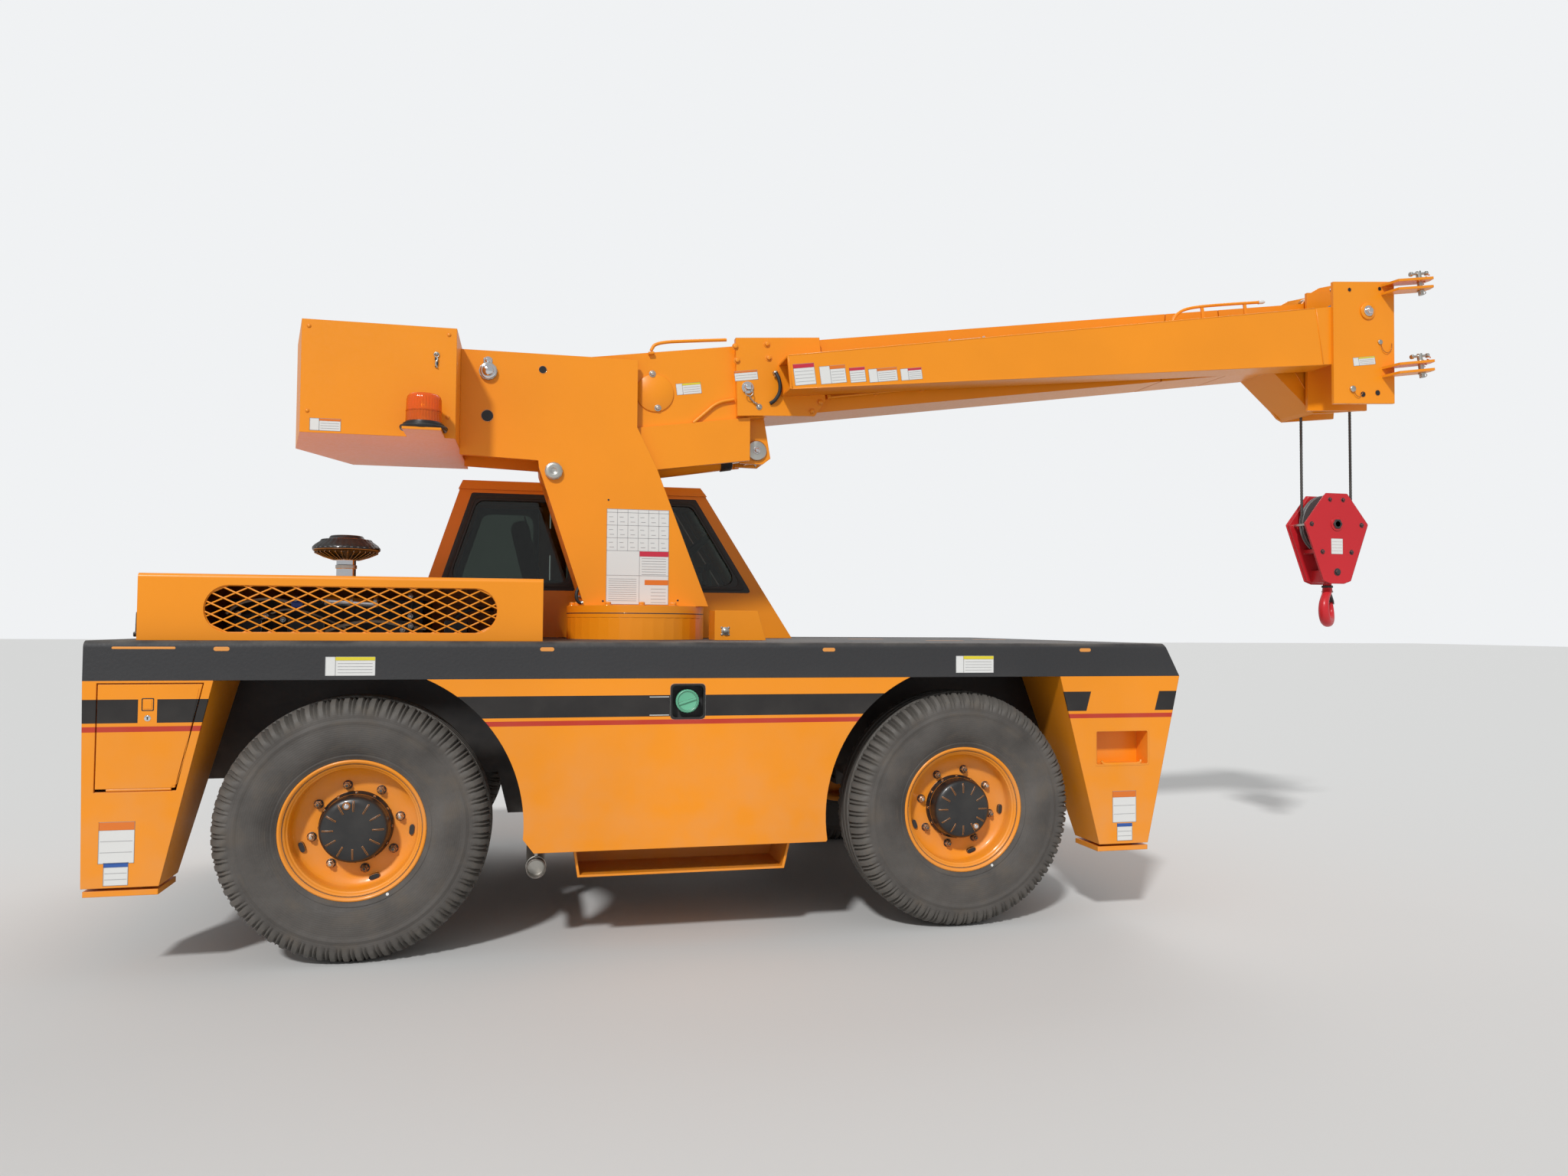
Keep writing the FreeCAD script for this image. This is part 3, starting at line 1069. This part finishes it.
# Cab door: a framed panel with a window, hinged at its rear edge.
cab_door = body_at("cab_door")
pad(cab_door, "XZ_Plane", s.cab_left - s.cab_wall, s.cab_left, polygon(*door_outline))
door_border = 56
door_window = polygon(
    (-s.cab_door_rear + door_border, s.sill), (s.cab_nose_along - s.window_border - 80, s.sill),
    (s.cab_nose_along - s.window_border - 80, s.cab_nose_height),
    (door_front_top - 80, s.lintel - door_border), (-s.cab_door_rear + door_border, s.lintel - door_border))
cut(cab_door, "XZ_Plane", s.cab_left - s.cab_wall - 1, s.cab_left + 1, door_window)
hinge_along = -s.cab_door_rear - gap / 2
hinge_across = s.cab_left + s.door_knuckle + 0.3
for level in hinge_levels:
    pad(cab_door, "XY_Plane", level, level + hinge_long, circle(hinge_along, hinge_across, s.door_knuckle))
    pad(cab_door, "XY_Plane", level, level + hinge_long, rectangle(
        hinge_along + 4, hinge_along + 46, s.cab_left, s.cab_left + 6))
keep(cab_door, "cab_door")
door_glass = body_at("cab_door_glass")
pad(door_glass, "XZ_Plane", pane_left, pane_left + s.glass, door_window)
keep(door_glass, "cab_door_glass")

# Seat and controls inside the cab.
seat = body_at("cab_seat")
seat_middle = (s.cab_right + s.cab_left) / 2
seat_rear = -s.post_rear - 230
seat_up = cab_floor + 141
pad(seat, "XZ_Plane", seat_middle - s.seat_half, seat_middle + s.seat_half, polygon(
    (seat_rear, seat_up), (seat_rear + 490, seat_up + 15), (seat_rear + 500, seat_up + 70),
    (seat_rear + 80, seat_up + 85), (seat_rear, seat_up + 400), (seat_rear - 80, seat_up + 390),
    (seat_rear - 60, seat_up + 10)))
pad(seat, "XY_Plane", cab_floor, seat_up + 6, rectangle(
    seat_rear + 40, seat_rear + 400, seat_middle - s.seat_half * 0.67, seat_middle + s.seat_half * 0.67))
keep(seat, "cab_seat")
controls = body_at("panel")
desk = s.cab_door_front + 30
pad(controls, "XZ_Plane", seat_middle - s.desk_half, seat_middle + s.desk_half, polygon(
    (desk, cab_floor), (desk + 230, cab_floor), (desk + 160, cab_floor + 181), (desk + 10, cab_floor + 191)))
pad(controls, "XZ_Plane", seat_middle - 18, seat_middle + 18, polygon(
    (desk, cab_floor + 171), (desk + 40, cab_floor + 191), (desk - 105, cab_floor + 351),
    (desk - 135, cab_floor + 333)))
steer_tilt = 42
hand_place = (desk - 122, seat_middle, cab_floor + 346, steer_tilt, (0, -1, 0))
hand_grip = 13
hand_rim = faceted("steering_rim", s.facets, [
    (0, s.hand_radius + hand_grip), (hand_grip, s.hand_radius), (0, s.hand_radius - hand_grip),
    (-hand_grip, s.hand_radius)])
locate(hand_rim, *hand_place)
hand_wheel = body_at("steering_spokes", *hand_place)
pad(hand_wheel, "XY_Plane", -5, 5, rectangle(-14, 14, -s.hand_radius, s.hand_radius))
pad(hand_wheel, "XY_Plane", -14, 8, many_sided(0, 0, 40, s.facets))
panel = doc.addObject("Part::MultiFuse", "panel_and_wheel")
panel.Shapes = [controls, hand_wheel, hand_rim]
keep(panel, "cab_controls")

# Swing bearing and the drive cover beside it.
swing_ring = body_at("swing_ring", s.swing_along, s.crane_across)
pad(swing_ring, "XY_Plane", s.deck_top, s.ring_top, many_sided(0, 0, s.ring_radius, s.tyre_facets))
keep(swing_ring, "swing_ring")
drive_cover = body_at("swing_drive")
drive_rear = s.swing_along + s.ring_radius + 6
drive_middle = s.crane_across - 215
pad(drive_cover, "XZ_Plane", drive_middle - 75, drive_middle + 75, polygon(
    (drive_rear, s.deck_top), (drive_rear + 215, s.deck_top), (drive_rear + 180, s.deck_top + 122),
    (drive_rear, s.deck_top + 122)))
keep(drive_cover, "swing_drive")

# Turret: two cranked plates on a round flange, joined by cross plates, ending in the tail box.
turret = body_at("turret", 0, s.crane_across)
ring_low = s.ring_top + s.swing_gap
plate_inner = s.plate_half - s.plate_wall
plate_outline = polygon(
    (-s.tail_end, s.tail_low), (s.knee_rear - 3, s.tail_low - 12), (s.knee_rear, s.tail_low - 40),
    (s.leg_low_rear, s.flange_top), (s.leg_low_front, s.flange_top), (s.knee_front, s.knee_height),
    (s.plate_nose, s.nose_low), (s.plate_nose, s.plate_top), (-s.tail_end, s.plate_top))
pad(turret, "XY_Plane", ring_low, s.flange_top, circle(s.swing_along, 0, s.ring_radius))
pad(turret, "XZ_Plane", -s.plate_half, -plate_inner, plate_outline)
pad(turret, "XZ_Plane", plate_inner, s.plate_half, plate_outline)
cross_rise = s.cross_top - s.flange_top
rear_cross = s.leg_low_rear + (s.knee_rear - s.leg_low_rear) * cross_rise / (
    s.tail_low - 40 - s.flange_top)
front_cross = s.leg_low_front + (s.knee_front - s.leg_low_front) * cross_rise / (
    s.knee_height - s.flange_top)
pad(turret, "XZ_Plane", -plate_inner, plate_inner,
    polygon((s.leg_low_rear, s.flange_top), (s.leg_low_rear + 22, s.flange_top),
            (rear_cross + 22, s.cross_top), (rear_cross, s.cross_top)),
    polygon((s.leg_low_front - 24, s.flange_top), (s.leg_low_front, s.flange_top),
            (front_cross, s.cross_top), (front_cross - 24, s.cross_top)))
for outline in (circle(s.heel_along, s.heel_height, s.heel_pin + 0.1),
                circle(s.foot_along, s.foot_height, s.foot_pin + 0.1)):
    cut(turret, "XZ_Plane", -s.plate_half - 1, s.plate_half + 1, outline)
keep(turret, "turret")

# Pins of the turret, each with a round head at both ends.
pins = []
for name, along, height, radius in (("heel_pin", s.heel_along, s.heel_height, s.heel_pin),
                                    ("foot_pin", s.foot_along, s.foot_height, s.foot_pin)):
    pin = body_at(name, along, s.crane_across, height)
    head = s.plate_half + 0.2
    pad(pin, "XZ_Plane", -head, head, circle(0, 0, radius))
    for low in (head, -head - 14):
        pad(pin, "XZ_Plane", low, low + 14, many_sided(0, 0, s.pin_head, s.facets * 0.6))
    pins.append(pin)
compound("turret_pins", *pins)

# Tail box: the counterweight with its hoist cover, bulged at the rear.
tail_box = body_at("tail_box", 0, s.crane_across)
box_front = -s.tail_end
pad(tail_box, "XY_Plane", s.box_low, s.box_top, polygon(
    (box_front - 0.2, -s.box_half), (box_front - 0.2, s.box_half), (-s.box_rear + 60, s.box_half),
    (-s.box_rear - s.box_bulge, 0), (-s.box_rear, -s.box_half)))
bracket_top = s.box_low + 9.7
bracket_along = -s.tail_end - 106
pad(tail_box, "XY_Plane", s.box_low, bracket_top, rectangle(
    bracket_along - 68, bracket_along + 68, -s.box_half - 170, -s.box_half))
keep(tail_box, "tail_box")

# Beacon on a bracket at the tail box's right front corner.
beacon = faceted("beacon", s.facets, [
    (0, 0), (0, 62), (16, 82), (32, 84), (46, 70), (116, 66), (134, 52), (134, 0)])
locate(beacon, bracket_along, s.crane_across - s.box_half - 90, bracket_top + 0.3)
keep(beacon, "beacon")

# Boom base section: a hollow box with the heel boss, the belly plates and the lift lug.
base = boom_body("boom_base")
wall = s.boom_wall
pad(base, "XZ_Plane", -s.boom_half, s.boom_half, polygon(
    (-s.boom_heel, -s.boom_down), (s.base_end - s.base_slant, -s.boom_down), (s.base_end, s.boom_up),
    (-s.boom_heel, s.boom_up)))
cut(base, "XZ_Plane", -s.boom_half + wall, s.boom_half - wall, rectangle(
    s.second_rear - 60, s.base_end + 1, -s.boom_down + wall, s.boom_up - wall))
belly_outer = s.boom_half + s.belly_wall
belly_front = s.lug_along - 23
belly_rear = belly_front - s.belly_long
belly = polygon((belly_rear, -s.boom_down + 4), (belly_rear + 160, -s.belly_under),
                (belly_front - 26, -s.belly_under), (belly_front, -s.boom_down + 4))
pad(base, "XZ_Plane", -belly_outer, -s.boom_half, belly)
pad(base, "XZ_Plane", s.boom_half, belly_outer, belly)
lug_inner = s.lug_half - s.lug_cheek
lug_rear = s.lug_along - s.rod_eye - 34
lug = polygon((lug_rear, -s.boom_down), (s.lug_along + 52, -s.boom_down),
              (s.lug_along + 58, -s.lug_under - 40), (s.lug_along + 20, -s.lug_under - 62),
              (lug_rear, -s.belly_under))
pad(base, "XZ_Plane", -s.lug_half, -lug_inner, lug)
pad(base, "XZ_Plane", lug_inner, s.lug_half, lug)
heel_face = plate_inner - 0.3
pad(base, "XZ_Plane", -heel_face, heel_face, circle(0, 0, s.heel_boss))
cut(base, "XZ_Plane", -heel_face - 1, heel_face + 1, circle(0, 0, s.heel_pin + s.pin_play))
pad_half = 60
pad(base, "XY_Plane", -s.boom_down + wall, -s.second_down - 0.3, rectangle(
    s.base_end - s.base_slant - s.wear_pad, s.base_end - s.base_slant, -pad_half, pad_half))
keep(base, "boom_base")

# Stow bracket: the plate on the boom's right side that carries the extension's narrow end.
bracket = boom_body("stow_bracket")
bracket_face = s.boom_half + 0.2
hold = s.extension_heel
pad(bracket, "XZ_Plane", -s.extension_far + 0.3, -bracket_face, polygon(
    (hold - 204, -s.boom_down + 12), (belly_front + 10, -s.boom_down + 7), (hold + 135, -s.boom_down - 20),
    (hold + 193, -s.boom_down + 42), (hold + 202, s.boom_up + 2), (hold - 168, s.boom_up + 28)))
pad(bracket, "XZ_Plane", -s.extension_far + 0.3, -bracket_face, rectangle(
    s.base_end - s.post_back, s.base_end - s.post_back + 80, -s.boom_down + 28, s.boom_up - 40))
keep(bracket, "stow_bracket")

# Second section with its collar.
second = boom_body("boom_second")
pad(second, "XZ_Plane", -s.second_half, s.second_half, rectangle(
    s.second_rear, s.second_collar - 60, -s.second_down, s.second_up))
pad(second, "XZ_Plane", -s.boom_half, s.boom_half, polygon(
    (s.base_end - s.base_slant + s.slide_gap, -s.boom_down), (s.second_collar, -s.boom_down),
    (s.second_collar, s.boom_up), (s.base_end + s.slide_gap, s.boom_up)))
cut(second, "XZ_Plane", -s.second_half + wall, s.second_half - wall, rectangle(
    s.second_rear - 1, s.second_collar + 1, -s.second_down + wall, s.second_up - wall))
pad(second, "XY_Plane", s.second_up, s.boom_up - wall - 0.3, rectangle(
    s.second_rear, s.second_rear + s.wear_pad, -pad_half, pad_half))
pad(second, "XY_Plane", -s.second_down + wall, -s.third_down - 0.3, rectangle(
    s.second_collar - s.wear_pad, s.second_collar, -pad_half, pad_half))
keep(second, "boom_second")

# Third section with the boom head: two cheeks, the head sheave and the lower guard.
third = boom_body("boom_head")
head_start = s.second_collar + s.slide_gap
box_end = s.head_end - 478
pad(third, "XZ_Plane", -s.third_half, s.third_half, rectangle(
    s.third_rear, head_start + 60, -s.third_down, s.third_up))
pad(third, "XZ_Plane", -s.boom_half, s.boom_half, rectangle(
    head_start, box_end, -s.boom_down, s.boom_up))
cheek = polygon(
    (s.head_end - 538, -s.boom_down + 8), (s.head_end - 380, -s.head_foot + 20),
    (s.head_end - 350, -s.head_foot), (s.head_end - 48, -s.head_foot - 10),
    (s.head_end, -s.boom_down - 22), (s.head_end, s.boom_up), (s.head_end - 58, s.boom_up + 90),
    (s.head_end - 228, s.boom_up + 72), (s.head_end - 278, s.boom_up + 52),
    (s.head_end - 338, s.boom_up), (s.head_end - 538, s.boom_up))
cheek_inner = s.boom_half - s.head_cheek
pad(third, "XZ_Plane", -s.boom_half, -cheek_inner, cheek)
pad(third, "XZ_Plane", cheek_inner, s.boom_half, cheek)
pad(third, "XZ_Plane", -s.boom_half, s.boom_half, polygon(
    (s.head_end - 558, -s.boom_down), (box_end, -s.boom_down), (s.head_end - 368, -s.head_foot + 65),
    (s.head_end - 350, -s.head_foot), (s.head_end - 370, -s.head_foot + 16)))
cut(third, "XZ_Plane", -s.third_half + wall, s.third_half - wall, rectangle(
    s.third_rear - 1, box_end + 1, -s.third_down + wall, s.third_up - wall))
pad(third, "XY_Plane", s.third_up, s.second_up - wall - 0.3, rectangle(
    s.third_rear, s.third_rear + s.wear_pad, -pad_half, pad_half))
pad(third, "XZ_Plane", -s.boom_half - 8, s.boom_half + 8,
    circle(s.sheave_along, s.sheave_up, s.sheave_pin))
anchor = 18
dead_run = s.block_along - s.fall_half - s.heel_along
dead_rise = s.fall_top - s.heel_height + anchor + 0.3
pad(third, "XZ_Plane", -cheek_inner, cheek_inner, circle(
    dead_run * cosine(s.boom_angle) + dead_rise * sine(s.boom_angle),
    dead_rise * cosine(s.boom_angle) - dead_run * sine(s.boom_angle), anchor))
keep(third, "boom_head")


def sheave(label, groove, along, height):
    """A grooved rope sheave on its pin."""
    floor = groove - 0.8
    flange = s.rope_radius + 6
    rim = floor + 2 * s.rope_radius + 1
    half = s.sheave_half
    bore = (s.sheave_pin + s.pin_play) / math.cos(math.pi / float(s.facets))
    wheel = faceted(label, s.facets, [
        (-half, bore), (-half, rim), (-flange, rim), (-s.rope_radius * 0.7, floor),
        (s.rope_radius * 0.7, floor), (flange, rim), (half, rim), (half, bore)], "Y")
    locate(wheel, along, s.crane_across, height)
    return wheel


# Head sheave and the rope that comes out of the boom, over the sheave and down its front.
sheave_x = (s.heel_along + s.sheave_along * cosine(s.boom_angle)
            - s.sheave_up * sine(s.boom_angle))
sheave_z = (s.heel_height + s.sheave_along * sine(s.boom_angle)
            + s.sheave_up * cosine(s.boom_angle))
keep(sheave("head_sheave", s.groove_radius, sheave_x, sheave_z), "head_sheave")
turn = 90 + s.lead_slope + s.boom_angle
rope_circle = s.groove_radius + s.rope_radius
rope_sides = 6
wrap_steps = 9


def rope_ring(centre, angle):
    """The rope's six-sided section across its run, at an angle round the sheave."""
    outward = vector(math.cos(math.radians(angle)), 0, math.sin(math.radians(angle)))
    points = []
    for step in range(rope_sides):
        lean = 2 * math.pi * step / rope_sides
        points.append(centre + outward * (float(s.rope_radius) * math.cos(lean))
                      + vector(0, 1, 0) * (float(s.rope_radius) * math.sin(lean)))
    return Part.makePolygon(points + points[:1])


def rope_over_sheave():
    """The rope as one body: up from the fall, round the sheave and down into the boom."""
    middle = vector(float(sheave_x), 0, float(sheave_z))
    sweep = float(turn)
    rings = [rope_ring(vector(float(sheave_x) + float(rope_circle), 0, float(s.fall_top) + 0.3), 0)]
    for step in range(wrap_steps + 1):
        angle = sweep * step / wrap_steps
        outward = vector(math.cos(math.radians(angle)), 0, math.sin(math.radians(angle)))
        rings.append(rope_ring(middle + outward * float(rope_circle), angle))
    run = float((s.sheave_along - box_end + 60) / cosine(s.lead_slope))
    onward = vector(-math.sin(math.radians(sweep)), 0, math.cos(math.radians(sweep)))
    end = middle + vector(math.cos(math.radians(sweep)), 0, math.sin(math.radians(sweep))) * float(rope_circle)
    rings.append(rope_ring(end + onward * run, sweep))
    return Part.makeLoft(rings, True, True)


rope_lead = doc.addObject("Part::Feature", "rope_lead")
rope_lead.Shape = rope_over_sheave()
locate(rope_lead, s.middle_ahead * 0, s.crane_across, 0)
keep(rope_lead, "rope_lead")

# Boom extension, stowed along the boom's right side with its narrow end at the turret.
extension = boom_body("boom_extension")
heel, nose = s.extension_heel, s.head_end - 348
taper = [(heel, -s.boom_down + 77), (nose - 30, -s.boom_down - 25), (nose, s.boom_up - 71),
         (heel + 5, s.boom_up - 101)]
pad(extension, "XZ_Plane", -s.extension_near, -s.extension_far, polygon(*taper))
thin = s.extension_wall
inner_taper = [(heel - 1, -s.boom_down + 77 + thin), (nose + 2, -s.boom_down - 25 + thin),
               (nose + 2, s.boom_up - 71 - thin), (heel - 1, s.boom_up - 101 - thin)]
cut(extension, "XZ_Plane", -s.extension_near + thin, -s.extension_far - thin, polygon(*inner_taper))
plate = [(s.head_end - 416, -s.boom_down - 213), (s.head_end - 78, -s.boom_down - 242),
         (s.head_end + 9, s.boom_up + 23), (s.head_end - 333, s.boom_up + 44)]
near_low, near_high = -s.extension_near - s.end_plate, -s.extension_near
far_low, far_high = -s.extension_far, -s.extension_far + s.end_plate
pad(extension, "XZ_Plane", near_low, near_high, polygon(*plate))
pad(extension, "XZ_Plane", far_low, far_high, polygon(*plate))
upright = sine(s.boom_angle) / cosine(s.boom_angle)
ear_middle = near_low - s.ear_width / 2
tee_along = s.ear_tip - 50
ear_pairs = [(s.boom_up + 2, s.boom_up - 38), (-s.boom_down - 74, -s.boom_down - 114)]
tees = []
for pair in ear_pairs:
    pin_along = s.ear_tip - 52 + pair[1] * upright
    for level in pair:
        front = s.ear_tip + level * upright
        pad(extension, "XY_Plane", level, level + s.ear_plate, polygon(
            (front - 240, near_low), (front - 300 + s.ear_width, near_low - s.ear_width),
            (front - 16, near_low - s.ear_width), (front, ear_middle), (front - 16, near_low)))
        cut(extension, "XY_Plane", level - 1, level + s.ear_plate + 1, circle(
            pin_along, ear_middle, s.ear_bore))
    # A T-pin stands in each pair of ears.
    tee = boom_body("tee_pin_%d" % len(tees))
    pad(tee, "XY_Plane", pair[1] - 24, pair[0] + 52,
        many_sided(pin_along, ear_middle, s.tee_radius, s.facets / 2))
    pad(tee, "YZ_Plane", pin_along - 44, pin_along + 44, many_sided(ear_middle, pair[0] + 40, 6, 6))
    tees.append(tee)
keep(extension, "boom_extension")
compound("tee_pins", *tees)

# Lift cylinder: the barrel on its foot pin, and the rod with its eye between the lug's cheeks.
def cylinder_body(label):
    return body_at(label, s.foot_along, s.crane_across, s.foot_height, s.cylinder_lean)


barrel = cylinder_body("lift_barrel")
eye_half = 48
eye_reach = s.barrel_radius - 4
pad(barrel, "YZ_Plane", eye_reach, s.barrel_end, circle(0, 0, s.barrel_radius))
pad(barrel, "XZ_Plane", -eye_half, eye_half, polygon(
    (eye_reach, -eye_reach), (eye_reach, eye_reach), (-eye_reach * 0.4, eye_reach),
    (-eye_reach, eye_reach * 0.4), (-eye_reach, -eye_reach * 0.4), (-eye_reach * 0.4, -eye_reach)))
cut(barrel, "YZ_Plane", 75, s.barrel_end - 38, circle(0, 0, s.barrel_bore))
cut(barrel, "YZ_Plane", s.barrel_end - 48, s.barrel_end + 1, circle(0, 0, s.rod_radius + s.pin_play))
cut(barrel, "XZ_Plane", -eye_half - 30, eye_half + 30, circle(0, 0, s.foot_pin + s.pin_play))
keep(barrel, "lift_barrel")
rod = cylinder_body("lift_rod")
pad(rod, "YZ_Plane", 96, s.cylinder_length - s.rod_eye, circle(0, 0, s.rod_radius))
pad(rod, "YZ_Plane", 96, 131, circle(0, 0, s.barrel_bore - s.pin_play))
pad(rod, "XZ_Plane", -eye_half, eye_half, polygon(
    (s.cylinder_length - s.rod_eye, -s.rod_eye), (s.cylinder_length + s.rod_eye * 0.4, -s.rod_eye),
    (s.cylinder_length + s.rod_eye, -s.rod_eye * 0.4), (s.cylinder_length + s.rod_eye, s.rod_eye * 0.4),
    (s.cylinder_length + s.rod_eye * 0.4, s.rod_eye), (s.cylinder_length - s.rod_eye, s.rod_eye)))
cut(rod, "XZ_Plane", -eye_half - 1, eye_half + 1, circle(s.cylinder_length, 0, s.foot_pin))
keep(rod, "lift_rod")

# Rope falls between the boom head and the hook block.
falls = []
for way in (-1, 1):
    fall = doc.addObject("Part::Cylinder", "fall_%d" % (way + 1))
    bind(fall, "Radius", s.rope_radius)
    bind(fall, "Height", s.fall_top - s.block_waist)
    locate(fall, s.block_along + s.fall_half * way, s.crane_across, s.block_waist)
    falls.append(fall)
compound("rope_falls", *falls)

# Hook block: two heavy cheeks with the sheave and its pin between them.
block = body_at("hook_block", s.block_along, s.crane_across)
cheek_outline = polygon(
    (-s.block_top_half, s.block_top), (-s.block_waist_half, s.block_waist),
    (-s.block_low_half - 26, s.block_low + 22), (-s.block_low_half, s.block_low),
    (s.block_low_half, s.block_low), (s.block_low_half + 26, s.block_low + 22),
    (s.block_waist_half, s.block_waist), (s.block_top_half, s.block_top))
block_inner = s.block_half - s.block_cheek
pad(block, "XZ_Plane", -s.block_half, -block_inner, cheek_outline)
pad(block, "XZ_Plane", block_inner, s.block_half, cheek_outline)
pad(block, "XZ_Plane", -s.block_half - 10, s.block_half + 10, circle(0, s.block_waist, s.sheave_pin))
pad(block, "XZ_Plane", -block_inner, block_inner, rectangle(-40, 40, s.block_low, s.block_low + 60))
keep(block, "hook_block")
keep(sheave("block_sheave", s.fall_half - s.rope_radius, s.block_along, s.block_waist), "block_sheave")

# Hook: a forged single hook on its swivel shank.
hook = body_at("hook", s.block_along, s.crane_across, s.hook_centre, s.hook_turn, (0, 0, 1))
bend = s.hook_radius
pad(hook, "XY_Plane", bend, s.block_low - s.hook_centre - 0.3, circle(0, 0, 24))
inner, outer = bend - s.hook_section, bend + s.hook_section
steps = 10


def arc_points(radius, start, end, centre=(0, 0)):
    """Points on an arc, in degrees from the front, as sizes of the sheet."""
    points = []
    for step in range(steps + 1):
        angle = start + (end - start) * step / steps
        points.append((centre[0] + radius * math.cos(math.radians(angle)),
                       centre[1] + radius * math.sin(math.radians(angle))))
    return points


saddle = arc_points(inner, 165, 385)
back = arc_points(outer, 380, 110, (0, -6))
pad(hook, "XZ_Plane", -s.hook_section * 0.8, s.hook_section * 0.8, polygon(
    (-24, bend + 12), *saddle, *back, (24, bend + 12)))
keep(hook, "hook")

doc.recompute()
faults = []
for item in doc.Objects:
    if "Invalid" in item.State or "Error" in item.State:
        faults.append(item.Label + " " + str(item.State))
for piece in pieces:
    if piece.Shape.isNull() or not piece.Shape.isValid():
        faults.append(piece.Label + " has no valid shape")
if faults:
    raise SystemExit("\n".join(faults))

os.makedirs("parts", exist_ok=True)
for piece in pieces:
    piece.Shape.exportStep("parts/" + piece.Label + ".step")
print(len(pieces), "pieces")
